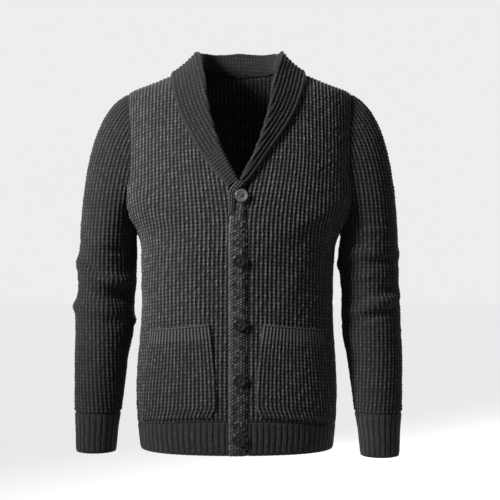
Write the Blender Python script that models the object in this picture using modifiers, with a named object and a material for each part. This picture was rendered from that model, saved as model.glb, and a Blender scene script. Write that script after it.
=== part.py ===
"""A chunky ribbed-knit cardigan with a shawl collar, as it is worn, with nothing inside it.

The garment hangs round an open hollow. Fronts, back, sleeves, ribs, collar, bands, pockets and
buttons are closed solids of their own, 0.3 mm apart at the seams. Metres, +Z up: the front faces
-Y, +X is the wearer's left, and the origin is on the back neck seam, where the nape carries it.
"""
import math

import bmesh
import bpy
import numpy as np
from mathutils import Matrix, Vector
from mathutils.bvhtree import BVHTree

# ---------------------------------------------------------------- driving dimensions
CLOTH = 0.003               # thickness of the knitted cloth
SEAM = 0.0003               # space left between two pieces at a seam
SEAM_HALF = 0.7 * SEAM      # one piece's share of it at a side or shoulder seam, where they curve
FULLNESS = 0.10             # how much squarer than an ellipse the body's loops are

NECK_POINT = 0.0145         # height of the shoulder seam's inner end, above the nape
SHOULDER_TIP = -0.043       # height of the shoulder seam's outer end
UNDERARM = -0.296           # height of the armhole's lowest point
V_BOTTOM = -0.213           # height at which the two neck edges meet
HEM_SEAM_FRONT = -0.629     # where the body meets the hem rib, at the middle
HEM_SEAM_SIDE = -0.645      # and at the side seams
HEM_EDGE = -0.6915          # lower edge of the hem rib

ARMHOLE_FRONT = math.radians(28.0)   # how far forward of the side seam the armhole reaches
ARMHOLE_BACK = math.radians(25.0)
ARMHOLE_STEPS = 12                   # steps on each half of an armhole
V_STEPS = 7                          # steps up each neck edge
LOWER_ROWS = 8                       # rows from the hem seam to the underarm
FRONT_COLUMNS = 8
BACK_SHOULDER_COLUMNS = 5
BACK_NECK_COLUMNS = 8

BAND_OUTER_EDGE = -0.0185   # free edge of the buttonhole band, and the button band's seam
BAND_SEAM = 0.0166          # where the buttonhole band meets the wearer's left front
BAND_TOP = -0.2147          # upper end of both bands
BAND_NARROWING = 0.090      # the bands narrow over this height, up to the V
LAP = 0.0034                # how far the upper band lies in front of the lower one

HEM_RIB = 0.0106            # width of one rib of the hem and cuffs
RIB_RISE = 0.0015           # height of a rib above the groove beside it
POCKET_RIB = 0.0070         # width of one rib of a pocket's top border

POCKET_TOP_INNER = -0.459
POCKET_TOP_OUTER = -0.471
POCKET_BORDER = 0.028
POCKET_ABOVE_HEM = 0.006
POCKET_INNER_TOP = 0.049    # distance from the centre front, along the cloth
POCKET_INNER_LOW = 0.0415
POCKET_OUTER = 0.187
PATCH_LIFT = 0.0005         # space between a pocket and the front that it lies on

COLLAR_RIBS = 7             # ribs that run along the collar's fall
COLLAR_ROLL = 0.0026        # radius of the fold, at the middle of the cloth
FALL_CLEAR = 0.0042         # middle of the fall above the front, at its free edge

BUTTON_RADIUS = 0.0115
BUTTON_THICK = 0.0038
BUTTON_HOLE = 0.0011
BUTTON_HOLE_SPACING = 0.0026

SIDES = {"left": 1, "right": -1}     # the wearer's sides: left is towards +X

# The body, a row for each height: half of its width, its reach forward and back from the
# side seams, where the side seams lie, and how far the loop's middle leans to the left.
TORSO = {
    "height":     (-0.700, -0.660, -0.635, -0.585, -0.530, -0.470, -0.420, -0.360, -0.325,
                   -0.296, -0.265, -0.235, -0.190, -0.130, -0.080, -0.056, -0.043, -0.020,
                   0.000, 0.0145, 0.030),
    "half_width": (0.1755, 0.1800, 0.1822, 0.1840, 0.1815, 0.1770, 0.1750, 0.1765, 0.1780,
                   0.1870, 0.2090, 0.2190, 0.2185, 0.2165, 0.2155, 0.2125, 0.2060, 0.1540,
                   0.1085, 0.0750, 0.0450),
    "front":      (0.1070, 0.1120, 0.1140, 0.1160, 0.1140, 0.1130, 0.1150, 0.1210, 0.1260,
                   0.1280, 0.1285, 0.1280, 0.1240, 0.1150, 0.1040, 0.0965, 0.0910, 0.0780,
                   0.0660, 0.0560, 0.0470),
    "back":       (0.1050, 0.1110, 0.1130, 0.1120, 0.1050, 0.0980, 0.0970, 0.1020, 0.1065,
                   0.1100, 0.1120, 0.1140, 0.1140, 0.1080, 0.0980, 0.0900, 0.0850, 0.0730,
                   0.0620, 0.0580, 0.0540),
    "seam_y":     (-0.0730, -0.0730, -0.0730, -0.0730, -0.0730, -0.0730, -0.0730, -0.0730,
                   -0.0730, -0.0730, -0.0730, -0.0730, -0.0720, -0.0700, -0.0680, -0.0670,
                   -0.0660, -0.0640, -0.0620, -0.0610, -0.0600),
    "lean":       (-0.0048, -0.0049, -0.0050, -0.0052, -0.0050, -0.0044, -0.0040, -0.0034,
                   -0.0024, -0.0016, -0.0010, -0.0002, 0.0008, 0.0016, 0.0012, 0.0008, 0.0006,
                   0.0002, 0.0, 0.0, 0.0),
}

# The neck edge of each front, from the V up to the shoulder seam: distance from the middle.
NECK_EDGE = {
    "height": (V_BOTTOM, -0.199, -0.167, -0.132, -0.079, -0.036, 0.000, NECK_POINT),
    "reach":  (0.0110, 0.0205, 0.0380, 0.0520, 0.0660, 0.0715, 0.0745, 0.0750),
}

# Each sleeve below the armhole, a row for each height: where its middle is and how wide and
# deep it is. The widths differ a little between the two arms, which are not held quite alike.
SLEEVE = {
    "height":       (-0.710, -0.665, -0.628, -0.580, -0.530, -0.480, -0.440, -0.418, -0.360,
                     -0.318),
    "left_middle":  (0.2544, 0.2535, 0.2525, 0.2507, 0.2488, 0.2442, 0.2433, 0.2424, 0.2395,
                     0.2375),
    "left_width":   (0.0352, 0.0382, 0.0428, 0.0463, 0.0500, 0.0536, 0.0537, 0.0532, 0.0541,
                     0.0545),
    "right_middle": (0.2592, 0.2585, 0.2572, 0.2553, 0.2540, 0.2498, 0.2492, 0.2475, 0.2451,
                     0.2414),
    "right_width":  (0.0358, 0.0384, 0.0418, 0.0453, 0.0483, 0.0527, 0.0540, 0.0537, 0.0537,
                     0.0520),
    "middle_y":     (-0.1165, -0.1100, -0.1030, -0.0920, -0.0800, -0.0700, -0.0655, -0.0645,
                     -0.0640, -0.0680),
    "depth":        (0.0370, 0.0400, 0.0465, 0.0510, 0.0540, 0.0570, 0.0580, 0.0590, 0.0620,
                     0.0660),
}
CUFF_TOP = -0.6285
CUFF_EDGE = {"left": -0.7080, "right": -0.7000}
CUFF_RIBS = 23
SLEEVE_TOP_RING = -0.318     # first ring that is wholly the arm's, below the armhole
SLEEVE_TOP_TILT = 0.018      # its outer side is this much higher, its inner side lower
CAP_ROWS = 7
ARM_ROWS = 14

# The sleeves' largest folds: height, way round from the outer side (90 is the front), how tall
# and how wide the fold is, how far it stands out (or dips), and how it slopes across the arm.
SLEEVE_FOLDS = {
    "left": (
        dict(height=-0.352, around=75, tall=0.012, wide=75, rise=0.0030, slope=0.020),
        dict(height=-0.384, around=20, tall=0.014, wide=60, rise=-0.0042, slope=0.018),
        dict(height=-0.432, around=70, tall=0.010, wide=70, rise=0.0045, slope=-0.012),
        dict(height=-0.456, around=120, tall=0.012, wide=60, rise=-0.0040, slope=-0.014),
        dict(height=-0.400, around=240, tall=0.014, wide=70, rise=-0.0040, slope=0.016),
    ),
    "right": (
        dict(height=-0.350, around=40, tall=0.016, wide=70, rise=0.0036, slope=0.018),
        dict(height=-0.400, around=60, tall=0.013, wide=65, rise=-0.0045, slope=0.030),
        dict(height=-0.434, around=40, tall=0.012, wide=80, rise=0.0042, slope=0.016),
        dict(height=-0.462, around=100, tall=0.014, wide=60, rise=-0.0036, slope=-0.014),
        dict(height=-0.405, around=235, tall=0.015, wide=70, rise=-0.0040, slope=0.016),
    ),
}

# The collar, a row for each stretch of the neck edge, counted in steps from the V (0) past the
# shoulder seam (7) to the nape (11): how far the fold stands in and up from the seam, and how
# far past the seam the fall reaches on each side.
COLLAR = {
    "step":       (0, 1, 2, 3, 4, 5, 6, 7, 9, 11),
    "fold_in":    (0.0090, 0.0105, 0.0110, 0.0105, 0.0095, 0.0070, 0.0055, 0.0050, 0.0230, 0.0400),
    "fold_up":    (0.0045, 0.0080, 0.0100, 0.0115, 0.0135, 0.0160, 0.0180, 0.0195, 0.0220, 0.0200),
    "fall_left":  (0.0010, 0.0070, 0.0210, 0.0350, 0.0430, 0.0460, 0.0460, 0.0450, 0.0340, 0.0180),
    "fall_right": (0.0020, 0.0190, 0.0310, 0.0410, 0.0470, 0.0500, 0.0500, 0.0490, 0.0340, 0.0180),
}

# The five buttons, from the top: height, and distance from the middle.
BUTTONS = {
    "height": (-0.2345, -0.3472, -0.4600, -0.5580, -0.6604),
    "across": (0.0050, 0.0003, 0.0018, 0.0009, -0.0009),
}


# ---------------------------------------------------------------- curves through the tables
def read(table, column, at, key="height"):
    """A column's value where the key column has the value `at`, on a smooth curve."""
    x = np.asarray(table[key], float)
    y = np.asarray(table[column], float)
    at = np.clip(np.asarray(at, float), x[0], x[-1])
    width = np.diff(x)
    rate = np.diff(y) / width
    slope = np.zeros_like(y)
    slope[0] = rate[0]
    slope[-1] = rate[-1]
    for i in range(1, len(x) - 1):
        if rate[i - 1] * rate[i] > 0:
            near = 2 * width[i] + width[i - 1]
            far = width[i] + 2 * width[i - 1]
            slope[i] = (near + far) / (near / rate[i - 1] + far / rate[i])
    i = np.clip(np.searchsorted(x, at, side="right") - 1, 0, len(x) - 2)
    step = width[i]
    t = (at - x[i]) / step
    start = (1 + 2 * t) * (1 - t) ** 2 * y[i] + t * (1 - t) ** 2 * step * slope[i]
    end = t * t * (3 - 2 * t) * y[i + 1] + t * t * (t - 1) * step * slope[i + 1]
    return start + end


def mix(a, b, share):
    return a + (b - a) * share


def ease(start, end, value):
    """0 at start, 1 at end, with a soft turn at both."""
    t = np.clip((np.asarray(value, float) - start) / (end - start), 0.0, 1.0)
    return t * t * (3 - 2 * t)


def unit(vectors):
    vectors = np.asarray(vectors, float)
    return vectors / np.linalg.norm(vectors, axis=-1, keepdims=True)


# ---------------------------------------------------------------- the body that it is worn on
def body_surface(height, turn):
    """The outer face of the body. Turn is 0 at the left side seam, -90 degrees at the front."""
    height, turn = np.broadcast_arrays(np.asarray(height, float), np.asarray(turn, float))
    sine = np.sin(turn)
    cosine = np.cos(turn)
    depth = np.where(sine < 0, read(TORSO, "front", height), read(TORSO, "back", height))
    x = read(TORSO, "lean", height)
    x = x + read(TORSO, "half_width", height) * cosine * (1 + FULLNESS * sine ** 2)
    y = read(TORSO, "seam_y", height) + depth * sine * (1 + FULLNESS * cosine ** 2)
    return np.stack([x, y, height], axis=-1)


def body_normal(height, turn):
    tiny = 1e-4
    up = body_surface(height + tiny, turn) - body_surface(height - tiny, turn)
    around = body_surface(height, turn + tiny) - body_surface(height, turn - tiny)
    return unit(np.cross(around, up))


def side_angle(height, across, side):
    """The angle between a side seam and the point of the front that is `across` from the middle."""
    wide = read(TORSO, "half_width", height)
    share = np.clip(side * (across - read(TORSO, "lean", height)) / wide, -1.0, 1.0)
    low = np.zeros_like(share)
    high = np.full_like(share, math.pi)
    for _ in range(40):
        middle = (low + high) / 2
        beyond = np.cos(middle) * (1 + FULLNESS * np.sin(middle) ** 2) > share
        low = np.where(beyond, middle, low)
        high = np.where(beyond, high, middle)
    return (low + high) / 2


def front_turn(side, angle):
    return -angle if side > 0 else angle - math.pi


def back_turn(side, angle):
    return angle if side > 0 else math.pi - angle


def turn_at_arc(height, distance, side):
    """The turn at a distance from the centre front, measured along the cloth."""
    turns = np.linspace(0.0, math.pi / 2, 181)
    ring = body_surface(height, front_turn(side, math.pi / 2 - turns))
    along = np.concatenate([[0.0], np.cumsum(np.linalg.norm(np.diff(ring, axis=0), axis=1))])
    return front_turn(side, math.pi / 2 - np.interp(distance, along, turns))


def hem_seam(turn):
    return mix(HEM_SEAM_FRONT, HEM_SEAM_SIDE, np.cos(turn) ** 2)


def armhole(theta):
    """Height and half angle of the armhole's edge: theta is 0 at the shoulder, pi underneath."""
    height = (SHOULDER_TIP + UNDERARM) / 2 + (SHOULDER_TIP - UNDERARM) / 2 * np.cos(theta)
    sharpness = 0.4 + 0.7 * theta / math.pi
    return height, np.clip(np.sin(theta), 0.0, 1.0) ** sharpness


def front_edge(height, side):
    """Where a front panel ends beside the bands, and along the V: distance from the middle."""
    lower = BAND_SEAM if side > 0 else -BAND_OUTER_EDGE
    narrowing = ease(V_BOTTOM - BAND_NARROWING, V_BOTTOM, height)
    below = mix(lower, NECK_EDGE["reach"][0], narrowing)
    return np.where(height < V_BOTTOM, below, read(NECK_EDGE, "reach", height))


def beside_band(height, side):
    """The side angle of a front panel's edge, half a seam's gap from the bands."""
    return side_angle(height, side * (front_edge(height, side) + SEAM / 2), side)


def body_tree():
    """A search tree of the body's upper face, whose faces point outwards."""
    heights = np.linspace(UNDERARM - 0.02, NECK_POINT, 120)
    turns = np.linspace(0.0, 2 * math.pi, 241)
    grid = body_surface(heights[:, None], turns[None, :])
    columns = len(turns)
    faces = []
    for row in range(len(heights) - 1):
        for column in range(columns - 1):
            a = row * columns + column
            faces.append((a, a + 1, a + columns + 1, a + columns))
    return BVHTree.FromPolygons([Vector(p) for p in grid.reshape(-1, 3)], faces)


# ---------------------------------------------------------------- solids from rings and grids
def material(name, colour, roughness):
    made = bpy.data.materials.new(name)
    made.use_nodes = True
    shader = made.node_tree.nodes["Principled BSDF"]
    shader.inputs["Base Color"].default_value = (*colour, 1.0)
    shader.inputs["Roughness"].default_value = roughness
    shader.inputs["Metallic"].default_value = 0.0
    return made


def add_solid(name, points, faces, finish):
    """One named closed solid from its points and faces, with the faces turned outwards."""
    mesh = bpy.data.meshes.new(name)
    mesh.from_pydata([tuple(p) for p in points], [], faces)
    work = bmesh.new()
    work.from_mesh(mesh)
    bmesh.ops.recalc_face_normals(work, faces=work.faces)
    work.to_mesh(mesh)
    work.free()
    mesh.materials.append(finish)
    mesh.shade_smooth()
    mesh.set_sharp_from_angle(angle=math.radians(50))
    solid = bpy.data.objects.new(name, mesh)
    bpy.data.collections["cardigan"].objects.link(solid)
    return solid


def cloth_wall(name, outer, inner, finish, tube=False):
    """A wall between two grids of points, closed round its edges, or at both ends of a tube."""
    rows, columns = outer.shape[:2]
    points = np.concatenate([outer.reshape(-1, 3), inner.reshape(-1, 3)])
    second = rows * columns

    def at(row, column, layer):
        return layer * second + row * columns + column % columns

    faces = []
    spans = columns if tube else columns - 1
    for row in range(rows - 1):
        for column in range(spans):
            a, b = at(row, column, 0), at(row, column + 1, 0)
            c, d = at(row + 1, column + 1, 0), at(row + 1, column, 0)
            faces.append((a, b, c, d))
            faces.append((a + second, d + second, c + second, b + second))
    for row in (0, rows - 1):
        for column in range(spans):
            a, b = at(row, column, 0), at(row, column + 1, 0)
            faces.append((a, b, b + second, a + second))
    if not tube:
        for column in (0, columns - 1):
            for row in range(rows - 1):
                a, b = at(row, column, 0), at(row + 1, column, 0)
                faces.append((a, b, b + second, a + second))
    return add_solid(name, points, faces, finish)


def ring_loft(name, rings, finish):
    """A solid through closed rings of equally many points, with both ends capped."""
    count = len(rings[0])
    faces = []
    for row in range(len(rings) - 1):
        for i in range(count):
            j = (i + 1) % count
            a = row * count
            faces.append((a + i, a + j, a + count + j, a + count + i))
    faces.append(tuple(range(count)))
    faces.append(tuple(range((len(rings) - 1) * count, len(rings) * count)))
    return add_solid(name, np.concatenate(rings), faces, finish)


def on_body(height, turn, lift=0.0):
    """Points at a distance outside the body's face, and the way out from them."""
    out = body_normal(height, turn)
    lift = np.asarray(lift, float)[..., None]
    return body_surface(height, turn) + out * lift, out


def wall_on_body(name, height, turn, finish, lift=0.0, rise=0.0):
    """A wall of cloth whose plain inner face lies `lift` outside the body's inner face."""
    base, out = on_body(height, turn, lift)
    outer = base + out * np.asarray(rise, float)[..., None]
    return cloth_wall(name, outer, base - out * CLOTH, finish)


# ---------------------------------------------------------------- fronts and back
def armhole_rows():
    """Angles round the armhole, from the underarm up to the shoulder."""
    return np.linspace(math.pi, 0.0, ARMHOLE_STEPS + 1)


def neck_rows():
    share = np.linspace(0.0, 1.0, V_STEPS + 1)
    return mix(V_BOTTOM, NECK_POINT, np.sin(share * math.pi / 2))


def seam_turn(height, gap):
    """The turn that spans a gap beside a side or shoulder seam."""
    return gap / read(TORSO, "front", height)


def front_grid(side):
    """Heights and turns of a front panel's points, from the hem seam up to the shoulder."""
    heights, turns = [], []
    columns = np.linspace(0.0, 1.0, FRONT_COLUMNS + 1)
    gap = seam_turn(UNDERARM, SEAM_HALF)
    for share in np.arange(LOWER_ROWS) / LOWER_ROWS:
        centre = mix(HEM_SEAM_FRONT, UNDERARM, share)
        inner = beside_band(centre, side)
        turn = front_turn(side, mix(inner, gap, columns))
        turns.append(turn)
        heights.append(mix(hem_seam(turn), UNDERARM, share))
    thetas = armhole_rows()
    edge, reach = armhole(thetas)
    neck = neck_rows()
    first = ARMHOLE_STEPS - V_STEPS
    for k, outer_height in enumerate(edge):
        inner_height = outer_height if k < first else neck[k - first]
        inner_x = front_edge(inner_height, side) + (SEAM / 2 if k < first else 0.0)
        inner = side_angle(inner_height, side * inner_x, side)
        inner = max(inner, gap)
        outer = max(ARMHOLE_FRONT * reach[k], gap)
        turns.append(front_turn(side, mix(inner, outer, columns)))
        heights.append(mix(inner_height, outer_height, columns))
    return np.array(heights), np.array(turns)


def back_grid(tree):
    """The back panel's outer points and the way out there, from the left side to the right.

    Above the underarm the points are spread between the panel's four edges, and then brought
    onto the body.
    """
    count = 2 * BACK_SHOULDER_COLUMNS + BACK_NECK_COLUMNS
    u = np.linspace(0.0, 1.0, count + 1)
    gap = seam_turn(UNDERARM, SEAM_HALF)
    level = mix(gap, math.pi - gap, u)
    rows = [on_body(mix(hem_seam(level), UNDERARM, row / LOWER_ROWS), level)
            for row in range(LOWER_ROWS + 1)]
    shoulder = np.linspace(SHOULDER_TIP, NECK_POINT, BACK_SHOULDER_COLUMNS + 1)
    neck = np.linspace(gap, math.pi - gap, BACK_NECK_COLUMNS + 1)
    top_turn = np.concatenate([np.full(BACK_SHOULDER_COLUMNS, gap), neck,
                               np.full(BACK_SHOULDER_COLUMNS, math.pi - gap)])
    top_height = np.concatenate([shoulder[:-1], NECK_POINT * np.cos(neck) ** 2,
                                 shoulder[-2::-1]])
    top = on_body(top_height, top_turn)
    bottom = rows[-1][0]
    edge, reach = armhole(armhole_rows())
    near = np.maximum(ARMHOLE_BACK * reach, gap)
    left = on_body(edge, near)
    right = on_body(edge, math.pi - near)
    for k in range(1, ARMHOLE_STEPS):
        t = k / ARMHOLE_STEPS
        row = mix(bottom, top[0], t)
        spread = row + np.outer(1 - u, left[0][k] - row[0]) + np.outer(u, right[0][k] - row[-1])
        found = [tree.find_nearest(Vector(point)) for point in spread[1:-1]]
        places = [np.array(hit[0]) for hit in found]
        outs = [np.array(hit[1]) for hit in found]
        rows.append((np.array([left[0][k], *places, right[0][k]]),
                     np.array([left[1][k], *outs, right[1][k]])))
    rows.append(top)
    return np.array([row[0] for row in rows]), np.array([row[1] for row in rows])


# ---------------------------------------------------------------- sleeves and cuffs
def sleeve_ring(side, height, theta, tilt=0.0):
    """Points round the arm: theta is 0 at the outer side, a quarter turn at the front."""
    name = "left" if side > 0 else "right"
    level = height + tilt * np.cos(theta)
    middle = read(SLEEVE, name + "_middle", level)
    wide = read(SLEEVE, name + "_width", level)
    x = side * (middle + wide * np.cos(theta))
    y = read(SLEEVE, "middle_y", level) - read(SLEEVE, "depth", level) * np.sin(theta)
    return np.stack([x, y, level], axis=-1)


def fold_lift(side, height, theta):
    """How far the large folds lift the cloth at a point of the sleeve."""
    name = "left" if side > 0 else "right"
    lift = np.zeros_like(theta + height)
    for fold in SLEEVE_FOLDS[name]:
        turn = (np.degrees(theta) - fold["around"] + 180) % 360 - 180
        middle = fold["height"] + fold["slope"] * turn / 90
        across = (height - middle) / fold["tall"]
        lift = lift + fold["rise"] * np.exp(-across ** 2 - (turn / fold["wide"]) ** 2)
    return lift


def armhole_ring(side, theta):
    """The armhole's edge on the body, all the way round, with the body's way out there."""
    half = np.where(theta <= math.pi, theta, 2 * math.pi - theta)
    height, reach = armhole(half)
    front = theta <= math.pi
    angle = np.where(front, ARMHOLE_FRONT, ARMHOLE_BACK) * reach
    turn = np.where(front, front_turn(side, angle), back_turn(side, angle))
    return body_surface(height, turn), body_normal(height, turn)


def sleeve_grid(side):
    """Outer points of a sleeve from the armhole to the cuff, and the way out at each."""
    theta = np.arange(2 * ARMHOLE_STEPS) * math.pi / ARMHOLE_STEPS
    start, start_out = armhole_ring(side, theta)
    along = unit(np.roll(start, -1, axis=0) - np.roll(start, 1, axis=0))
    away = np.cross(along, start_out)
    middle = start.mean(axis=0)
    away = away * np.sign(np.einsum("ij,ij->i", away, middle - start))[:, None]
    start = start + (away + start_out) * SEAM
    end = sleeve_ring(side, SLEEVE_TOP_RING, theta, SLEEVE_TOP_TILT)
    top = (1 + np.cos(theta)) / 2
    steep = ease(0.0, 1.0, 1 - top)[:, None]
    outward = np.array([side * 0.92, 0.0, -0.39])
    downward = np.array([side * 0.30, 0.0, -0.95])
    leave = unit(mix(outward, downward, steep)) * (0.035 + 0.195 * top ** 0.8)[:, None]
    leave[:, 1] -= 0.020 * np.sin(theta) * top
    arrive = np.array([side * 0.06, 0.0, -1.0]) * (0.035 + 0.225 * top)[:, None]
    rows = []
    for t in np.linspace(0.0, 1.0, CAP_ROWS + 1):
        rows.append((1 + 2 * t) * (1 - t) ** 2 * start + t * (1 - t) ** 2 * leave
                    + t * t * (3 - 2 * t) * end + t * t * (t - 1) * arrive)
    for share in np.arange(1, ARM_ROWS + 1) / ARM_ROWS:
        height = mix(SLEEVE_TOP_RING, CUFF_TOP, share)
        rows.append(sleeve_ring(side, height, theta, SLEEVE_TOP_TILT * (1 - share) ** 2))
    outer = np.array(rows)
    out = tube_normals(outer)
    lift = fold_lift(side, outer[..., 2], np.broadcast_to(theta, outer.shape[:2]))
    outer = outer + out * lift[..., None]
    out = tube_normals(outer)
    out[0] = unit(start_out + out[0] - 0.6 * away)
    return outer, out


def tube_normals(grid):
    """The way out at each point of a tube's grid, whose columns run round the tube."""
    around = np.roll(grid, -1, axis=1) - np.roll(grid, 1, axis=1)
    down = np.gradient(grid, axis=0)
    out = unit(np.cross(around, down))
    spoke = grid - grid.mean(axis=1, keepdims=True)
    inward = np.einsum("ijk,ijk->", out, spoke) < 0
    return -out if inward else out


def cuff_grid(name):
    """Outer and inner points of a ribbed cuff."""
    side = SIDES[name]
    theta = np.arange(2 * CUFF_RIBS) * math.pi / CUFF_RIBS
    shares = np.array([0.0, 0.12, 1.0])
    top = CUFF_TOP - 1.2 * SEAM
    rows = []
    for share in shares:
        rows.append(sleeve_ring(side, mix(top, CUFF_EDGE[name], share), theta))
    base = np.array(rows)
    out = tube_normals(base)
    drawn_in = 0.0016 * ease(0.0, 0.12, shares)
    ridge = (np.arange(2 * CUFF_RIBS) % 2) * RIB_RISE
    rise = ridge[None, :] * ease(-0.05, 0.12, shares)[:, None]
    base = base - out * drawn_in[:, None, None]
    return base + out * rise[..., None], base - out * CLOTH


# ---------------------------------------------------------------- hem ribs, bands, pockets
def hem_rib(name, first, last, finish):
    """A stretch of the ribbed hem between two ends, whose turns are given for any height."""
    ends = [first(HEM_EDGE), last(HEM_EDGE)]
    ring = body_surface(HEM_EDGE, np.linspace(*ends, 60))
    ribs = round(np.linalg.norm(np.diff(ring, axis=0), axis=1).sum() / HEM_RIB)
    shares = np.array([0.0, 0.12, 1.0])[:, None]
    across = np.linspace(0.0, 1.0, 2 * ribs + 1)[None, :]
    top = hem_seam(mix(*ends, across)) - 1.4 * SEAM
    height = mix(top, HEM_EDGE, shares)
    turns = mix(first(height[:, :1]), last(height[:, -1:]), across)
    ridge = (np.arange(2 * ribs + 1) % 2) * RIB_RISE
    rise = ridge[None, :] * ease(-0.05, 0.12, shares)
    return wall_on_body(name, height, turns, finish, rise=rise)


def band_lift(across):
    """How far in front of the body the upper band's face lies: it steps back to its seam."""
    return LAP * (1 - ease(0.004, BAND_SEAM, across))


def band(name, first, last, behind, finish):
    """A front band between two distances from the middle, as far behind as is given."""
    heights = [mix(HEM_EDGE, HEM_SEAM_FRONT, share) for share in (0.0, 0.5)]
    heights += [mix(HEM_SEAM_FRONT, UNDERARM, row / LOWER_ROWS) for row in range(LOWER_ROWS)]
    above, _ = armhole(armhole_rows()[:ARMHOLE_STEPS - V_STEPS])
    heights += list(above) + [BAND_TOP]
    heights = np.array(heights)
    shares = np.linspace(0.0, 1.0, 6)
    narrow = ease(V_BOTTOM - BAND_NARROWING, V_BOTTOM, heights)[:, None]
    neck = NECK_EDGE["reach"][0]
    left = mix(first, -neck, narrow)
    right = mix(last, neck, narrow)
    across = mix(left, right, shares[None, :])
    height = np.broadcast_to(heights[:, None], across.shape)
    turn = front_turn(1, side_angle(height, across, 1))
    lift = band_lift(across) - behind
    return wall_on_body(name, height, turn, finish, lift=lift)


def pocket_grid(side, low_share, high_share, columns, rows):
    """Heights and turns of part of a pocket: shares run from its bottom to its top edge."""
    heights, turns = [], []
    u = np.linspace(0.0, 1.0, columns + 1)
    for v in np.linspace(low_share, high_share, rows + 1):
        middle = mix(HEM_SEAM_FRONT + POCKET_ABOVE_HEM, POCKET_TOP_INNER, v)
        corner = 0.004 * (1 - ease(0.0, 0.10, v))
        inner = mix(POCKET_INNER_LOW, POCKET_INNER_TOP, v ** 2) + corner
        turn = turn_at_arc(middle, mix(inner, POCKET_OUTER, u), side)
        bottom = hem_seam(turn) + POCKET_ABOVE_HEM
        top = mix(POCKET_TOP_INNER, POCKET_TOP_OUTER, u)
        turns.append(turn)
        heights.append(mix(bottom, top, v))
    return np.array(heights), np.array(turns)


def add_pocket(name, finish):
    """A patch pocket on a front, and the ribbed border on its top edge."""
    side = SIDES[name]
    tall = POCKET_TOP_INNER - (HEM_SEAM_FRONT + POCKET_ABOVE_HEM)
    border = 1 - POCKET_BORDER / tall
    lift = CLOTH + PATCH_LIFT
    height, turn = pocket_grid(side, 0.0, border - SEAM / tall, 9, 8)
    wall_on_body(name + "_pocket", height, turn, finish, lift=lift)
    ribs = round((POCKET_OUTER - POCKET_INNER_TOP) / POCKET_RIB)
    height, turn = pocket_grid(side, border, 1.0, 2 * ribs, 1)
    ridge = (np.arange(2 * ribs + 1) % 2) * RIB_RISE * 0.7
    rise = np.broadcast_to(ridge, height.shape)
    wall_on_body(name + "_pocket_rib", height, turn, finish, lift=lift, rise=rise)


# ---------------------------------------------------------------- shawl collar
def neck_path(back):
    """The neck edge from the right front's V round the nape to the left front's V.

    Gives each section's point, the body's way out there, its step in the collar's table, and
    its share of the way round.
    """
    first = ARMHOLE_STEPS - V_STEPS + LOWER_ROWS
    edges = []
    for side in (-1, 1):
        height, turn = front_grid(side)
        edges.append(on_body(height[first:, 0], turn[first:, 0]))
    span = slice(BACK_SHOULDER_COLUMNS + 1, BACK_SHOULDER_COLUMNS + BACK_NECK_COLUMNS)
    right, left = edges
    points = np.concatenate([right[0], back[0][-1, span][::-1], left[0][::-1]])
    outs = np.concatenate([right[1], back[1][-1, span][::-1], left[1][::-1]])
    count = len(points)
    steps = np.minimum(np.arange(count), np.arange(count)[::-1])
    return points, outs, steps, np.arange(count) / (count - 1)


def turned(direction):
    """A direction in the section's plane, turned a quarter towards the face that shows."""
    return np.stack([-direction[..., 1], direction[..., 0]], axis=-1)


def collar_section(step, share):
    """The folded cloth in its own plane: away from the neck, and out from the body.

    Gives the points of the face that shows, from the seam over the fold to the free edge, and
    those of the face beneath, back to the seam.
    """
    fold_in = float(read(COLLAR, "fold_in", step, "step"))
    fold_up = float(read(COLLAR, "fold_up", step, "step"))
    right = float(read(COLLAR, "fall_right", step, "step"))
    left = float(read(COLLAR, "fall_left", step, "step"))
    fall = mix(right, left, float(ease(0.35, 0.65, share)))
    seam = np.array([-1.8 * SEAM, -CLOTH / 2])
    fold = np.array([-fold_in, fold_up])
    edge = np.array([fall, FALL_CLEAR])
    start = turned(unit(fold - seam))
    end = turned(unit(edge - fold))
    first = math.atan2(start[1], start[0])
    last = math.atan2(end[1], end[0])
    if last > first:
        last -= 2 * math.pi
    stand_end = fold + COLLAR_ROLL * start
    bend = seam + np.array([-0.35 * np.linalg.norm(fold - seam), 0.0])
    t = np.linspace(0.0, 1.0, 3)[:-1, None]
    stand = (1 - t) ** 2 * seam + 2 * t * (1 - t) * bend + t * t * stand_end
    angle = np.linspace(first, last, 4)
    roll = fold + COLLAR_ROLL * np.stack([np.cos(angle), np.sin(angle)], axis=-1)
    fall_start = roll[-1]

    def fall_line(count):
        q = np.linspace(0.0, 1.0, count)[1:]
        across = mix(fall_start[0], edge[0], q)
        out = edge[1] + (fall_start[1] - edge[1]) * (1 - q) ** 1.5
        return np.stack([across, out], axis=-1)

    def facing(line):
        way = turned(unit(np.gradient(line, axis=0)))
        way[0] = (0.0, -1.0)
        return way

    def both_faces(line):
        return line + facing(line) * CLOTH / 2, line - facing(line) * CLOTH / 2

    ribbed = np.concatenate([stand, roll, fall_line(2 * COLLAR_RIBS + 1)])
    plain = np.concatenate([stand, roll, fall_line(4)])
    shown, _ = both_faces(ribbed)
    _, beneath = both_faces(plain)
    ridge = np.zeros(len(ribbed))
    ridge[-2 * COLLAR_RIBS:-1:2] = 1.0
    width = np.linalg.norm(edge - fold)
    rise = 0.8 * RIB_RISE * min(1.0, width / 0.045)
    shown = shown + facing(ribbed) * (ridge * rise)[:, None]
    tip = edge + unit(edge - fall_start) * 0.0008
    return np.concatenate([shown, [tip], beneath[::-1]])


def section_between(rings, i):
    """A ring half way from one section to the next, on a smooth curve through four of them.

    At the seam it keeps to the straight line, as the edges of the panels do.
    """
    before = rings[max(i - 1, 0)]
    after = rings[min(i + 2, len(rings) - 1)]
    straight = (rings[i] + rings[i + 1]) / 2
    ring = (9 * (rings[i] + rings[i + 1]) - before - after) / 16
    ring[[0, -1]] = straight[[0, -1]]
    return ring


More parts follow.
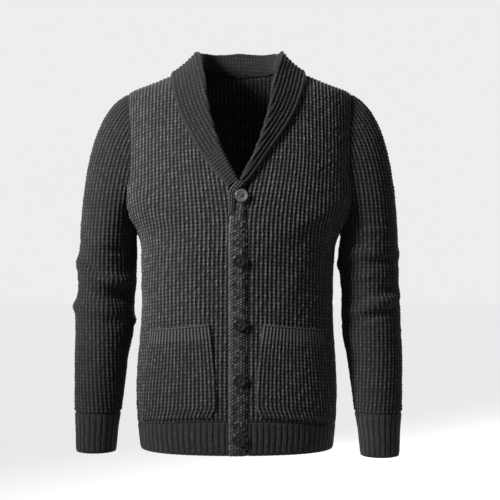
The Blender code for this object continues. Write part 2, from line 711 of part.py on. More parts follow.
def add_collar(tree, back, finish):
    points, outs, steps, shares = neck_path(back)
    along = unit(np.gradient(points, axis=0))
    rings = []
    for point, out, way_on, step, share in zip(points, outs, along, steps, shares):
        away = unit(np.cross(out, way_on))
        ring = []
        for across, height in collar_section(step, share):
            place = point + away * across
            way = out
            if across > 0:
                hit, normal, _, _ = tree.find_nearest(Vector(place))
                way = unit(mix(out, np.array(normal), min(1.0, across / 0.010)))
                place = np.array(hit)
            ring.append(place + way * height)
        rings.append(np.array(ring))
    smooth = []
    for i in range(len(rings) - 1):
        smooth += [rings[i], section_between(rings, i)]
    ring_loft("shawl_collar", smooth + [rings[-1]], finish)


# ---------------------------------------------------------------- buttons
def button_mesh(finish):
    """A round four-hole button with a rolled rim, lying on the XY plane, its back at 0."""
    profile = [(0.0, 0.0026), (0.60, 0.0026), (0.82, BUTTON_THICK), (1.0, 0.0024),
               (0.80, 0.0), (0.0, 0.0)]
    mesh = bpy.data.meshes.new("button_profile")
    points = [(share * BUTTON_RADIUS, 0.0, height) for share, height in profile]
    mesh.from_pydata(points, [(i, i + 1) for i in range(len(points) - 1)], [])
    turned_piece = bpy.data.objects.new("button_profile", mesh)
    bpy.context.scene.collection.objects.link(turned_piece)
    screw = turned_piece.modifiers.new("turned", "SCREW")
    screw.axis = "Z"
    screw.steps = 16
    screw.render_steps = 16
    screw.use_merge_vertices = True
    screw.merge_threshold = 0.00005
    cutters = bpy.data.collections["cutters"]
    for column in (-1, 1):
        for row in (-1, 1):
            bpy.ops.mesh.primitive_cylinder_add(
                vertices=5, radius=BUTTON_HOLE, depth=4 * BUTTON_THICK,
                location=(column * BUTTON_HOLE_SPACING / 2, row * BUTTON_HOLE_SPACING / 2, 0))
            cutter = bpy.context.object
            cutter.name = "button_hole_cutter"
            for used in list(cutter.users_collection):
                used.objects.unlink(cutter)
            cutters.objects.link(cutter)
            cutter.hide_render = True
            cutter.display_type = "WIRE"
            hole = turned_piece.modifiers.new("thread_hole", "BOOLEAN")
            hole.object = cutter
            hole.operation = "DIFFERENCE"
    bpy.context.view_layer.update()
    graph = bpy.context.evaluated_depsgraph_get()
    made = bpy.data.meshes.new_from_object(turned_piece.evaluated_get(graph))
    made.name = "button"
    made.materials.clear()
    made.materials.append(finish)
    made.shade_smooth()
    made.set_sharp_from_angle(angle=math.radians(40))
    bpy.data.objects.remove(turned_piece)
    return made


def add_buttons(finish):
    mesh = button_mesh(finish)
    for number, (height, across) in enumerate(zip(BUTTONS["height"], BUTTONS["across"]), 1):
        height = np.array(height)
        turn = front_turn(1, side_angle(height, np.array(across), 1))
        lift = LAP + 2 * SEAM
        place, out = on_body(height, turn, lift)
        solid = bpy.data.objects.new(f"button_{number}", mesh)
        bpy.data.collections["cardigan"].objects.link(solid)
        facing = Vector(out).to_track_quat("Z", "Y").to_matrix().to_4x4()
        solid.matrix_world = Matrix.Translation(Vector(place)) @ facing


# ---------------------------------------------------------------- the cardigan
def build():
    for leftover in list(bpy.data.objects):
        bpy.data.objects.remove(leftover)
    for name in ("cardigan", "cutters"):
        collection = bpy.data.collections.new(name)
        bpy.context.scene.collection.children.link(collection)
    knit = material("charcoal_knit", (0.050, 0.052, 0.056), 0.95)
    rib = material("charcoal_rib", (0.040, 0.042, 0.046), 0.95)
    horn = material("black_button", (0.010, 0.010, 0.011), 0.25)

    for name, side in SIDES.items():
        height, turn = front_grid(side)
        wall_on_body(name + "_front", height, turn, knit)
        outer, out = sleeve_grid(side)
        cloth_wall(name + "_sleeve", outer, outer - out * CLOTH, knit, tube=True)
        outer, inner = cuff_grid(name)
        cloth_wall(name + "_cuff", outer, inner, rib, tube=True)
        hem_rib(name + "_hem_rib", lambda at: front_turn(side, beside_band(at, side)),
                lambda at: front_turn(side, seam_turn(at, SEAM_HALF)), rib)
        add_pocket(name, knit)
    tree = body_tree()
    back = back_grid(tree)
    cloth_wall("back", back[0], back[0] - back[1] * CLOTH, knit)
    hem_rib("back_hem_rib", lambda at: seam_turn(at, SEAM_HALF),
            lambda at: math.pi - seam_turn(at, SEAM_HALF), rib)
    band("button_band", BAND_OUTER_EDGE + SEAM / 2, BAND_SEAM - SEAM / 2, LAP, rib)
    band("buttonhole_band", BAND_OUTER_EDGE + SEAM / 2, BAND_SEAM - SEAM / 2, 0.0, rib)
    add_collar(tree, back, rib)
    add_buttons(horn)


build()
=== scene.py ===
"""The looks of a shawl-collar cardigan in chunky charcoal half-cardigan knit, worn and empty.

Each knitted piece is a thin shell of raised stitches, on the form of its solid in the frame.
"""
import math

import bpy
import numpy as np
from mathutils import Matrix, Vector
from mathutils.bvhtree import BVHTree
from mathutils.kdtree import KDTree


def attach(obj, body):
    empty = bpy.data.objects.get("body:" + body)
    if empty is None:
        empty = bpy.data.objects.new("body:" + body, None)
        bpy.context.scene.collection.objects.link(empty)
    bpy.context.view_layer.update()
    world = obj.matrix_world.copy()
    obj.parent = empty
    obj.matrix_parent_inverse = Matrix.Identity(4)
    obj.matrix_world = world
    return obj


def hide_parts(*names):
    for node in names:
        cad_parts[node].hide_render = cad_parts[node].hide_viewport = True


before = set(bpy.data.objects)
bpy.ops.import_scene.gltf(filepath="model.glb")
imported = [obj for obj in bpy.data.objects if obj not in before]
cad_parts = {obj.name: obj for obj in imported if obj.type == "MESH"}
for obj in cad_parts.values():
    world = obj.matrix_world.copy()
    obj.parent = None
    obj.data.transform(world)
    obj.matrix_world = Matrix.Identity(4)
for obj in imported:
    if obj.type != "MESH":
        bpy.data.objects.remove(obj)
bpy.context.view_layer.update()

# ================================================================ the two fronts
# Each front is one knitted panel in thick charcoal wool-blend yarn. Its wales run straight up
# from the hem rib, and it is shaped at the armhole and along the V. Its edges are turned in
# where it is linked to its neighbours.
WALE = 0.0078                # width of one column of stitches
COURSE = 0.0063              # height of one row of stitches
STITCH_RELIEF = 0.0031       # from the deepest hole to the top of a stitch
STITCH_SINK = 0.0018         # how far the holes lie behind the form's face
TURN_IN = 0.0005             # how far an edge is turned in at a seam
TURN_IN_WIDTH = 0.0024

SEAM = 0.0003
FULLNESS = 0.10              # how much squarer than an ellipse the body's loops are
NECK_POINT = 0.0145
SHOULDER_TIP = -0.043
UNDERARM = -0.296
V_BOTTOM = -0.213
HEM_SEAM_FRONT = -0.629
HEM_SEAM_SIDE = -0.645
HEM_EDGE = -0.6915
ARMHOLE_FRONT = math.radians(28.0)
ARMHOLE_BACK = math.radians(25.0)
BAND_OUTER_EDGE = -0.0185
BAND_SEAM = 0.0166
BAND_NARROWING = 0.090
SIDES = {"left": 1, "right": -1}

# The form that the fronts and back hang on: its size at each height, from the hem up.
TORSO = {
    "height":     (-0.700, -0.660, -0.635, -0.585, -0.530, -0.470, -0.420, -0.360, -0.325,
                   -0.296, -0.265, -0.235, -0.190, -0.130, -0.080, -0.056, -0.043, -0.020,
                   0.000, 0.0145, 0.030),
    "half_width": (0.1755, 0.1800, 0.1822, 0.1840, 0.1815, 0.1770, 0.1750, 0.1765, 0.1780,
                   0.1870, 0.2090, 0.2190, 0.2185, 0.2165, 0.2155, 0.2125, 0.2060, 0.1540,
                   0.1085, 0.0750, 0.0450),
    "front":      (0.1070, 0.1120, 0.1140, 0.1160, 0.1140, 0.1130, 0.1150, 0.1210, 0.1260,
                   0.1280, 0.1285, 0.1280, 0.1240, 0.1150, 0.1040, 0.0965, 0.0910, 0.0780,
                   0.0660, 0.0560, 0.0470),
    "back":       (0.1050, 0.1110, 0.1130, 0.1120, 0.1050, 0.0980, 0.0970, 0.1020, 0.1065,
                   0.1100, 0.1120, 0.1140, 0.1140, 0.1080, 0.0980, 0.0900, 0.0850, 0.0730,
                   0.0620, 0.0580, 0.0540),
    "seam_y":     (-0.0730, -0.0730, -0.0730, -0.0730, -0.0730, -0.0730, -0.0730, -0.0730,
                   -0.0730, -0.0730, -0.0730, -0.0730, -0.0720, -0.0700, -0.0680, -0.0670,
                   -0.0660, -0.0640, -0.0620, -0.0610, -0.0600),
    "lean":       (-0.0048, -0.0049, -0.0050, -0.0052, -0.0050, -0.0044, -0.0040, -0.0034,
                   -0.0024, -0.0016, -0.0010, -0.0002, 0.0008, 0.0016, 0.0012, 0.0008, 0.0006,
                   0.0002, 0.0, 0.0, 0.0),
}

# The neck edge of each front: distance from the middle.
NECK_EDGE = {
    "height": (V_BOTTOM, -0.199, -0.167, -0.132, -0.079, -0.036, 0.000, NECK_POINT),
    "reach":  (0.0110, 0.0205, 0.0380, 0.0520, 0.0660, 0.0715, 0.0745, 0.0750),
}


def read(table, column, at, key="height"):
    """A column's value where the key column has the value `at`, on a smooth curve."""
    x = np.asarray(table[key], float)
    y = np.asarray(table[column], float)
    at = np.clip(np.asarray(at, float), x[0], x[-1])
    width = np.diff(x)
    rate = np.diff(y) / width
    slope = np.zeros_like(y)
    slope[0] = rate[0]
    slope[-1] = rate[-1]
    for i in range(1, len(x) - 1):
        if rate[i - 1] * rate[i] > 0:
            near = 2 * width[i] + width[i - 1]
            far = width[i] + 2 * width[i - 1]
            slope[i] = (near + far) / (near / rate[i - 1] + far / rate[i])
    i = np.clip(np.searchsorted(x, at, side="right") - 1, 0, len(x) - 2)
    step = width[i]
    t = (at - x[i]) / step
    start = (1 + 2 * t) * (1 - t) ** 2 * y[i] + t * (1 - t) ** 2 * step * slope[i]
    end = t * t * (3 - 2 * t) * y[i + 1] + t * t * (t - 1) * step * slope[i + 1]
    return start + end


def mix(a, b, share):
    return a + (b - a) * share


def ease(start, end, value):
    """0 at start, 1 at end, with a soft turn at both."""
    t = np.clip((np.asarray(value, float) - start) / (end - start), 0.0, 1.0)
    return t * t * (3 - 2 * t)


def unit(vectors):
    vectors = np.asarray(vectors, float)
    return vectors / np.maximum(np.linalg.norm(vectors, axis=-1, keepdims=True), 1e-12)


def run_along(points):
    """How far each point of a line lies along it, from the line's first point."""
    step = np.linalg.norm(np.diff(points, axis=0), axis=-1)
    return np.concatenate([np.zeros((1, *step.shape[1:])), np.cumsum(step, axis=0)])


def body_surface(height, turn):
    """The face of the body. Turn is 0 at the left side seam, -90 degrees at the front."""
    height, turn = np.broadcast_arrays(np.asarray(height, float), np.asarray(turn, float))
    sine = np.sin(turn)
    cosine = np.cos(turn)
    depth = np.where(sine < 0, read(TORSO, "front", height), read(TORSO, "back", height))
    x = read(TORSO, "lean", height)
    x = x + read(TORSO, "half_width", height) * cosine * (1 + FULLNESS * sine ** 2)
    y = read(TORSO, "seam_y", height) + depth * sine * (1 + FULLNESS * cosine ** 2)
    return np.stack([x, y, height], axis=-1)


def body_normal(height, turn):
    tiny = 1e-4
    up = body_surface(height + tiny, turn) - body_surface(height - tiny, turn)
    around = body_surface(height, turn + tiny) - body_surface(height, turn - tiny)
    return unit(np.cross(around, up))


def side_angle(height, across, side):
    """The angle between a side seam and the point of the front that is `across` from the middle."""
    wide = read(TORSO, "half_width", height)
    share = np.clip(side * (across - read(TORSO, "lean", height)) / wide, -1.0, 1.0)
    low = np.zeros_like(share)
    high = np.full_like(share, math.pi)
    for _ in range(30):
        middle = (low + high) / 2
        beyond = np.cos(middle) * (1 + FULLNESS * np.sin(middle) ** 2) > share
        low = np.where(beyond, middle, low)
        high = np.where(beyond, high, middle)
    return (low + high) / 2


def front_turn(side, angle):
    return -angle if side > 0 else angle - math.pi


def back_turn(side, angle):
    return angle if side > 0 else math.pi - angle


def hem_seam(turn):
    return mix(HEM_SEAM_FRONT, HEM_SEAM_SIDE, np.cos(turn) ** 2)


def armhole(theta):
    """Height and half angle of the armhole's edge: theta is 0 at the shoulder, pi underneath."""
    height = (SHOULDER_TIP + UNDERARM) / 2 + (SHOULDER_TIP - UNDERARM) / 2 * np.cos(theta)
    sharpness = 0.4 + 0.7 * theta / math.pi
    return height, np.clip(np.sin(theta), 0.0, 1.0) ** sharpness


def armhole_reach(height):
    """The armhole's half angle, as a share of its widest, at any height."""
    share = (2 * height - SHOULDER_TIP - UNDERARM) / (SHOULDER_TIP - UNDERARM)
    theta = np.arccos(np.clip(share, -1.0, 1.0))
    return armhole(theta)[1]


def front_edge(height, side):
    """Where a front ends beside the bands, and along the V: distance from the middle."""
    lower = BAND_SEAM if side > 0 else -BAND_OUTER_EDGE
    narrowing = ease(V_BOTTOM - BAND_NARROWING, V_BOTTOM, height)
    below = mix(lower, NECK_EDGE["reach"][0], narrowing)
    return np.where(height < V_BOTTOM, below, read(NECK_EDGE, "reach", height))


def beside_band(height, side):
    """The angle at which a front ends, beside its band or along the V."""
    return side_angle(height, side * (front_edge(height, side) + SEAM / 2), side)


# Soft drag folds of the fronts and back: how far from the middle and how high, which way each
# runs (0 is level, 90 is upright), its length and width, and how far it stands out or dips.
BODY_FOLDS = (
    dict(across=0.150, height=-0.262, runs=38, long=0.075, wide=0.016, rise=0.0034),
    dict(across=0.128, height=-0.292, runs=34, long=0.060, wide=0.014, rise=-0.0030),
    dict(across=-0.152, height=-0.255, runs=-42, long=0.080, wide=0.017, rise=0.0036),
    dict(across=-0.126, height=-0.290, runs=-38, long=0.055, wide=0.014, rise=-0.0028),
    dict(across=0.190, height=-0.405, runs=12, long=0.055, wide=0.013, rise=0.0024),
    dict(across=-0.196, height=-0.392, runs=-10, long=0.060, wide=0.014, rise=0.0026),
    dict(across=0.200, height=-0.372, runs=14, long=0.050, wide=0.011, rise=-0.0020),
    dict(across=-0.070, height=-0.430, runs=-70, long=0.090, wide=0.022, rise=0.0018),
    dict(across=0.085, height=-0.410, runs=66, long=0.080, wide=0.020, rise=0.0016),
)
BACK_FOLDS = (
    dict(across=0.120, height=-0.360, runs=24, long=0.090, wide=0.017, rise=0.0038),
    dict(across=0.105, height=-0.395, runs=18, long=0.080, wide=0.014, rise=-0.0030),
    dict(across=-0.125, height=-0.350, runs=-26, long=0.085, wide=0.018, rise=0.0036),
    dict(across=-0.095, height=-0.392, runs=-14, long=0.090, wide=0.015, rise=-0.0030),
    dict(across=0.020, height=-0.440, runs=4, long=0.120, wide=0.016, rise=0.0028),
    dict(across=-0.150, height=-0.200, runs=-68, long=0.070, wide=0.018, rise=0.0030),
    dict(across=0.155, height=-0.190, runs=70, long=0.075, wide=0.019, rise=0.0028),
)


def fold_lift(folds, across, height):
    """How far the folds lift the cloth, at a distance from the middle and a height."""
    lift = np.zeros(np.broadcast(across, height).shape)
    for fold in folds:
        way = math.radians(fold["runs"])
        right = across - fold["across"]
        up = height - fold["height"]
        along = (right * math.cos(way) + up * math.sin(way)) / fold["long"]
        off = (up * math.cos(way) - right * math.sin(way)) / fold["wide"]
        lift = lift + fold["rise"] * np.exp(-off ** 2 - along ** 2)
    return lift


def body_cloth(height, turn):
    """Points of the hanging cloth and the way out from them, with its soft folds."""
    base = body_surface(height, turn)
    out = body_normal(height, turn)
    front = fold_lift(BODY_FOLDS, base[..., 0], base[..., 2])
    back = fold_lift(BACK_FOLDS, base[..., 0], base[..., 2])
    lift = np.where(np.sin(turn) < 0, front, back)
    inner = ease(0.0, 0.25, np.abs(np.sin(turn)))
    return base + out * (lift * inner)[..., None], out


def stitch_relief(wale, course, seed):
    """Half-cardigan stitches, from 0 deep in a hole to 1 on a wale's top, at a wale and a course.

    Each wale is a chain of fat stitches. Once a course a slanted hole opens beside it, and the
    tucked thread crosses from wale to wale between one hole and the next.
    """
    random = np.random.RandomState(seed)
    uneven = random.normal(0.0, 1.0, (3, 97, 131))

    def roll(kind, column, row):
        return uneven[kind, column.astype(int) % 97, row.astype(int) % 131]

    sway = 0.05 * np.sin(1.1 * course + 2.3 * np.floor(wale))
    across = np.clip(wale - np.floor(wale) - 0.5 + sway, -0.5, 0.5)
    beat = course - 0.35 * across
    size = 1 + 0.11 * roll(0, np.floor(wale), np.round(beat))
    bead = 0.84 + 0.16 * np.cos(2 * math.pi * beat)
    ridge = np.cos(math.pi * across) ** 1.2 * bead * size
    gutter = wale - np.round(wale)
    hole_beat = course - 0.5 - 0.85 * gutter
    off = hole_beat - np.round(hole_beat)
    column, row = np.round(wale) + 40, np.round(hole_beat)
    width = 0.29 * (1 + 0.15 * roll(1, column, row))
    hole = np.exp(-(gutter / width) ** 4 - np.abs(off / 0.35) ** 3)
    link = 0.56 + 0.08 * roll(2, column, row)
    return np.clip(np.maximum(ridge, link) * (1 - hole), 0.0, 1.3)


def yarn(name, dark, light):
    """Matt wool-blend yarn: flecked fibres and twisted plies, with painted shade down between the
    stitches.
    """
    made = bpy.data.materials.new(name)
    made.use_nodes = True
    nodes = made.node_tree.nodes
    link = made.node_tree.links.new
    shader = nodes["Principled BSDF"]
    shader.inputs["Roughness"].default_value = 0.92
    shader.inputs["Specular IOR Level"].default_value = 0.10
    shader.inputs["Sheen Weight"].default_value = 0.03
    shader.inputs["Sheen Roughness"].default_value = 0.55
    shader.inputs["Sheen Tint"].default_value = (0.62, 0.64, 0.68, 1.0)

    place = nodes.new("ShaderNodeTexCoord")
    flecks = nodes.new("ShaderNodeTexNoise")
    flecks.inputs["Scale"].default_value = 620.0
    flecks.inputs["Detail"].default_value = 3.0
    flecks.inputs["Roughness"].default_value = 0.65
    link(place.outputs["Object"], flecks.inputs["Vector"])
    shade = nodes.new("ShaderNodeValToRGB")
    shade.color_ramp.elements[0].position = 0.34
    shade.color_ramp.elements[0].color = (*dark, 1.0)
    shade.color_ramp.elements[1].position = 0.68
    shade.color_ramp.elements[1].color = (*light, 1.0)
    link(flecks.outputs["Fac"], shade.inputs["Fac"])

    # Painted shade: the colour is multiplied by a ramp of stitch_top, how high each point's stitch
    # stands, from black in the holes through dark gutters to full on the wales' tops.
    height = nodes.new("ShaderNodeAttribute")
    height.attribute_name = "stitch_top"
    gutter = nodes.new("ShaderNodeValToRGB")
    gutter.color_ramp.elements[0].position = 0.14
    gutter.color_ramp.elements[0].color = (0.0, 0.0, 0.0, 1.0)
    gutter.color_ramp.elements[1].position = 1.0
    gutter.color_ramp.elements[1].color = (1.0, 1.0, 1.0, 1.0)
    for stop, tone in ((0.34, 0.02), (0.54, 0.12), (0.80, 0.52)):
        between = gutter.color_ramp.elements.new(stop)
        between.color = (tone, tone, tone, 1.0)
    link(height.outputs["Fac"], gutter.inputs["Fac"])
    colour_with_painted_shade = nodes.new("ShaderNodeMix")
    colour_with_painted_shade.data_type = "RGBA"
    colour_with_painted_shade.blend_type = "MULTIPLY"
    colour_with_painted_shade.inputs["Factor"].default_value = 1.0
    link(shade.outputs["Color"], colour_with_painted_shade.inputs[6])
    link(gutter.outputs["Color"], colour_with_painted_shade.inputs[7])
    link(colour_with_painted_shade.outputs[2], shader.inputs["Base Color"])

    stitches = nodes.new("ShaderNodeUVMap")
    stitches.uv_map = "stitches"
    plies = nodes.new("ShaderNodeTexWave")
    plies.wave_type = "BANDS"
    plies.bands_direction = "DIAGONAL"
    plies.inputs["Scale"].default_value = 0.9
    plies.inputs["Distortion"].default_value = 2.2
    plies.inputs["Detail"].default_value = 2.0
    plies.inputs["Detail Scale"].default_value = 2.5
    link(stitches.outputs["UV"], plies.inputs["Vector"])
    fuzz = nodes.new("ShaderNodeTexNoise")
    fuzz.inputs["Scale"].default_value = 1500.0
    fuzz.inputs["Detail"].default_value = 3.0
    link(place.outputs["Object"], fuzz.inputs["Vector"])
    ply_bump = nodes.new("ShaderNodeBump")
    ply_bump.inputs["Strength"].default_value = 0.55
    ply_bump.inputs["Distance"].default_value = 0.0006
    link(plies.outputs["Fac"], ply_bump.inputs["Height"])
    fuzz_bump = nodes.new("ShaderNodeBump")
    fuzz_bump.inputs["Strength"].default_value = 0.6
    fuzz_bump.inputs["Distance"].default_value = 0.0004
    link(fuzz.outputs["Fac"], fuzz_bump.inputs["Height"])
    link(ply_bump.outputs["Normal"], fuzz_bump.inputs["Normal"])
    link(fuzz_bump.outputs["Normal"], shader.inputs["Normal"])
    return made


body_yarn = yarn("charcoal_body_yarn", (0.0134, 0.0136, 0.0144), (0.0410, 0.0416, 0.0436))


def grid_faces(number):
    """Four-cornered faces between the rows and columns of numbered points."""
    return np.stack([number[:-1, :-1], number[:-1, 1:], number[1:, 1:], number[1:, :-1]],
                    axis=-1).reshape(-1, 4)


def knitted_piece(name, nodes, points, faces, outs, chart, top, finish):
    """A mesh of stitches that rides on the cardigan in place of its solids.

    Its faces are turned outwards, and each point's wale and course are its UV. Its top is kept
    as stitch_top, which the yarn turns into painted shade.
    """
    turning = np.cross(points[faces[:, 1]] - points[faces[:, 0]],
                       points[faces[:, 3]] - points[faces[:, 0]])
    if np.einsum("ij,ij->", turning, outs[faces[:, 0]]) < 0:
        faces = faces[:, ::-1]
    mesh = bpy.data.meshes.new(name)
    mesh.from_pydata(points.tolist(), [], faces.tolist())
    mesh.materials.append(finish)
    corners = np.empty(len(mesh.loops), dtype=np.int32)
    mesh.loops.foreach_get("vertex_index", corners)
    stitches = mesh.uv_layers.new(name="stitches")
    stitches.data.foreach_set("uv", chart[corners].astype(np.float32).ravel())
    depth = mesh.attributes.new("stitch_top", "FLOAT", "POINT")
    depth.data.foreach_set("value", top.astype(np.float32))
    mesh.shade_smooth()
    piece = bpy.data.objects.new(name, mesh)
    bpy.context.scene.collection.objects.link(piece)
    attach(piece, "root")
    if nodes:
        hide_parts(*nodes)
    return piece


def cut_from_field(inside, points, outline):
    """Which cells and points of a field of stitches belong to a panel.

    Points just past the outline are brought onto it. Gives the cells, the points used, their
    places, and how far each lies from the outline.
    """
    cells = inside[:-1, :-1] | inside[1:, :-1] | inside[:-1, 1:] | inside[1:, 1:]
    used = np.zeros_like(inside)
    for rows in (slice(None, -1), slice(1, None)):
        for columns in (slice(None, -1), slice(1, None)):
            used[rows, columns] |= cells
    edge = KDTree(len(outline))
    for i, point in enumerate(outline.tolist()):
        edge.insert(point, i)
    edge.balance()
    places = points[used]
    kept = inside[used]
    away = np.zeros(len(places))
    for i, point in enumerate(places.tolist()):
        nearest, _, distance = edge.find(point)
        if kept[i]:
            away[i] = distance
        else:
            places[i] = nearest
    return cells, used, places, away


def knit_panel(name, node, points, outs, wale, course, inside, outline, finish, seed):
    """Cuts a panel out of a field of points, raises its stitches and turns its edges in."""
    cells, used, places, away = cut_from_field(inside, points, outline)
    tall = stitch_relief(wale, course, seed)[used]
    firm = ease(0.0, TURN_IN_WIDTH, away)
    lift = firm * (tall * STITCH_RELIEF - STITCH_SINK) - (1 - firm) * TURN_IN
    places = places + outs[used] * lift[:, None]
    number = np.cumsum(used.ravel()).reshape(used.shape) - 1
    faces = grid_faces(number)[cells.ravel()]
    chart = np.stack([wale, course], axis=-1)[used]
    # Where an edge turns in, its stitch top goes towards one half, which the yarn paints in the
    # gutters' dark tone: painted shade along the seams.
    piece = knitted_piece(name, (node,), places, faces, outs[used], chart,
                          mix(0.50, tall, firm), finish)


COURSE_POINTS = 4            # points up one row of stitches
FORM_ROWS = 520              # heights at which a panel's form is read
NEAR_HEM = 20                # the one of them that is near the hem seam
STRAIGHT_BELOW = -0.24       # below this the wales keep their distance from the middle
UPRIGHT_ABOVE = -0.10        # above this they run straight up to the shoulder
WALE_LEAN = 0.020            # how far they lean towards the middle below the V


def pushed_out(height, distance):
    """How much further from the middle a wale lies beside the V than it does below it."""
    return WALE_LEAN * np.exp(-(distance / 0.12) ** 2) * ease(-0.295, -0.135, height)


def body_field(middle, heading, first, last, wale_points, lean):
    """A field of stitches over half of the body: heights, turns, wales and courses.

    Wales are counted from the middle (a turn), with the heading as the way that they count up.
    """
    heights = np.linspace(HEM_SEAM_SIDE - 0.004, NECK_POINT, FORM_ROWS)
    wales = np.arange(first * wale_points, last * wale_points + 1) / wale_points
    reach = np.linspace(-math.pi * 0.62, math.pi * 0.62, 401)
    turns = middle + heading * reach
    rings = body_surface(heights[:, None], turns[None, :])
    half = middle + heading * np.linspace(-math.pi / 2, math.pi / 2, 241)
    half_x = body_surface(heights[:, None], half[None, :])[..., 0]
    level = int(np.argmin(np.abs(heights - (STRAIGHT_BELOW + UPRIGHT_ABOVE) / 2)))

    def turns_along(row, distance):
        along = run_along(rings[row])
        return np.interp(distance, along - np.interp(0.0, reach, along), turns)

    table = []
    for row, height in enumerate(heights):
        distance = wales * WALE + lean * pushed_out(height, wales * WALE)
        low = turns_along(row, distance)
        level_x = body_surface(heights[level], turns_along(level, distance))[:, 0]
        x = half_x[row]
        order = 1 if x[-1] > x[0] else -1
        high = np.interp(level_x, x[::order], half[::order])
        table.append(mix(low, high, ease(STRAIGHT_BELOW, UPRIGHT_ABOVE, height)))
    table = np.array(table)
    length = run_along(body_surface(heights[:, None], table))
    hem = hem_seam(table[NEAR_HEM])
    courses = np.arange(int(length[-1].max() / COURSE * COURSE_POINTS)) / COURSE_POINTS
    wale, course = np.meshgrid(wales, courses)
    height, turn = np.empty_like(wale), np.empty_like(wale)
    for i in range(len(wales)):
        start = np.interp(hem[i], heights, length[:, i])
        height[:, i] = np.interp(start + courses * COURSE, length[:, i], heights)
        turn[:, i] = np.interp(height[:, i], heights, table[:, i])
    return height, turn, wale, course


def side_gap(height):
    return 0.7 * SEAM / read(TORSO, "front", height)


def armhole_edge(widest, turn_at):
    """Points down a panel's outer edge: shoulder seam, armhole and side seam."""
    theta = np.linspace(0.0, math.pi, 420)
    round_height, reach = armhole(theta)
    shoulder = np.linspace(NECK_POINT, SHOULDER_TIP, 160)
    side_seam = np.linspace(UNDERARM, HEM_SEAM_SIDE, 420)
    height = np.concatenate([shoulder, round_height, side_seam])
    angle = np.concatenate([0 * shoulder, widest * reach, 0 * side_seam])
    return body_surface(height, turn_at(np.maximum(angle, side_gap(height))))


for name, side in SIDES.items():
    height, turn, wale, course = body_field(-math.pi / 2, side, 1, 39, 5, 1)
    points, outs = body_cloth(height, turn)
    angle = -turn if side > 0 else turn + math.pi
    limit = np.maximum(ARMHOLE_FRONT * armhole_reach(height), side_gap(height))
    inside = (angle > limit) & (angle < beside_band(height, side)) & (height < NECK_POINT - 0.0005)
    edge_height = np.linspace(HEM_SEAM_FRONT, NECK_POINT, 900)
    neck_line = body_surface(edge_height, front_turn(side, beside_band(edge_height, side)))
    hem_turn = front_turn(side, np.linspace(0.0, math.pi / 2, 400))
    hem_line = body_surface(hem_seam(hem_turn), hem_turn)
    outline = np.concatenate([armhole_edge(ARMHOLE_FRONT, lambda a: front_turn(side, a)),
                              neck_line, hem_line])
    knit_panel(f"{name}_front_knit", f"{name}_front", points, outs, wale * side, course, inside,
               outline, body_yarn, 11 + side)

# ================================================================ the back
# The back is one panel, knitted like the fronts, from the hem rib to the shoulder seams and
# the nape. Its wrong side shows through the open neck.
height, turn, wale, course = body_field(math.pi / 2, 1, -38, 38, 4, 0)
points, outs = body_cloth(height, turn)
angle = math.pi / 2 - np.abs(turn - math.pi / 2)
limit = np.maximum(ARMHOLE_BACK * armhole_reach(height), side_gap(height))
inside = (angle > limit) & (height < NECK_POINT * np.cos(turn) ** 2 - 0.0003)
sides = [armhole_edge(ARMHOLE_BACK, lambda a: back_turn(side, a)) for side in SIDES.values()]
nape_turn = np.linspace(0.0, math.pi, 320)
nape_line = body_surface(NECK_POINT * np.cos(nape_turn) ** 2, nape_turn)
hem_line = body_surface(hem_seam(nape_turn), nape_turn)
knit_panel("back_knit", "back", points, outs, wale, course, inside,
           np.concatenate([*sides, nape_line, hem_line]), body_yarn, 23)

# ================================================================ the sleeves
# Set-in sleeves in the same knit. Their wales run down the arm, the armhole seam cuts across
# them, and one seam closes each sleeve underneath. They crease above and below the elbow.
ARM_WALES = 25               # wales on each side of the arm's outer line
ARM_WALE_POINTS = 5
ARM_AROUND = 192             # points round the arm's form
ARM_PAST_SEAM = 20           # how many more it has past the underarm seam
CAP_ROWS = 60
ARM_ROWS = 150
SLEEVE = {
    "height":       (-0.702, -0.657, -0.621, -0.574, -0.527, -0.480, -0.440, -0.418, -0.360,
                     -0.318),
    "left_middle":  (0.2544, 0.2535, 0.2525, 0.2507, 0.2488, 0.2442, 0.2433, 0.2424, 0.2395,
                     0.2375),
    "left_width":   (0.0352, 0.0382, 0.0428, 0.0463, 0.0500, 0.0536, 0.0537, 0.0532, 0.0541,
                     0.0545),
    "right_middle": (0.2592, 0.2585, 0.2572, 0.2553, 0.2540, 0.2498, 0.2492, 0.2475, 0.2451,
                     0.2414),
    "right_width":  (0.0358, 0.0384, 0.0418, 0.0453, 0.0483, 0.0527, 0.0540, 0.0537, 0.0537,
                     0.0520),
    "middle_y":     (-0.1165, -0.1100, -0.1030, -0.0920, -0.0800, -0.0700, -0.0655, -0.0645,
                     -0.0640, -0.0680),
    "depth":        (0.0370, 0.0400, 0.0465, 0.0510, 0.0540, 0.0570, 0.0580, 0.0590, 0.0620,
                     0.0660),
}
CUFF_TOP = -0.6215
SLEEVE_TOP_RING = -0.318
SLEEVE_TOP_TILT = 0.018

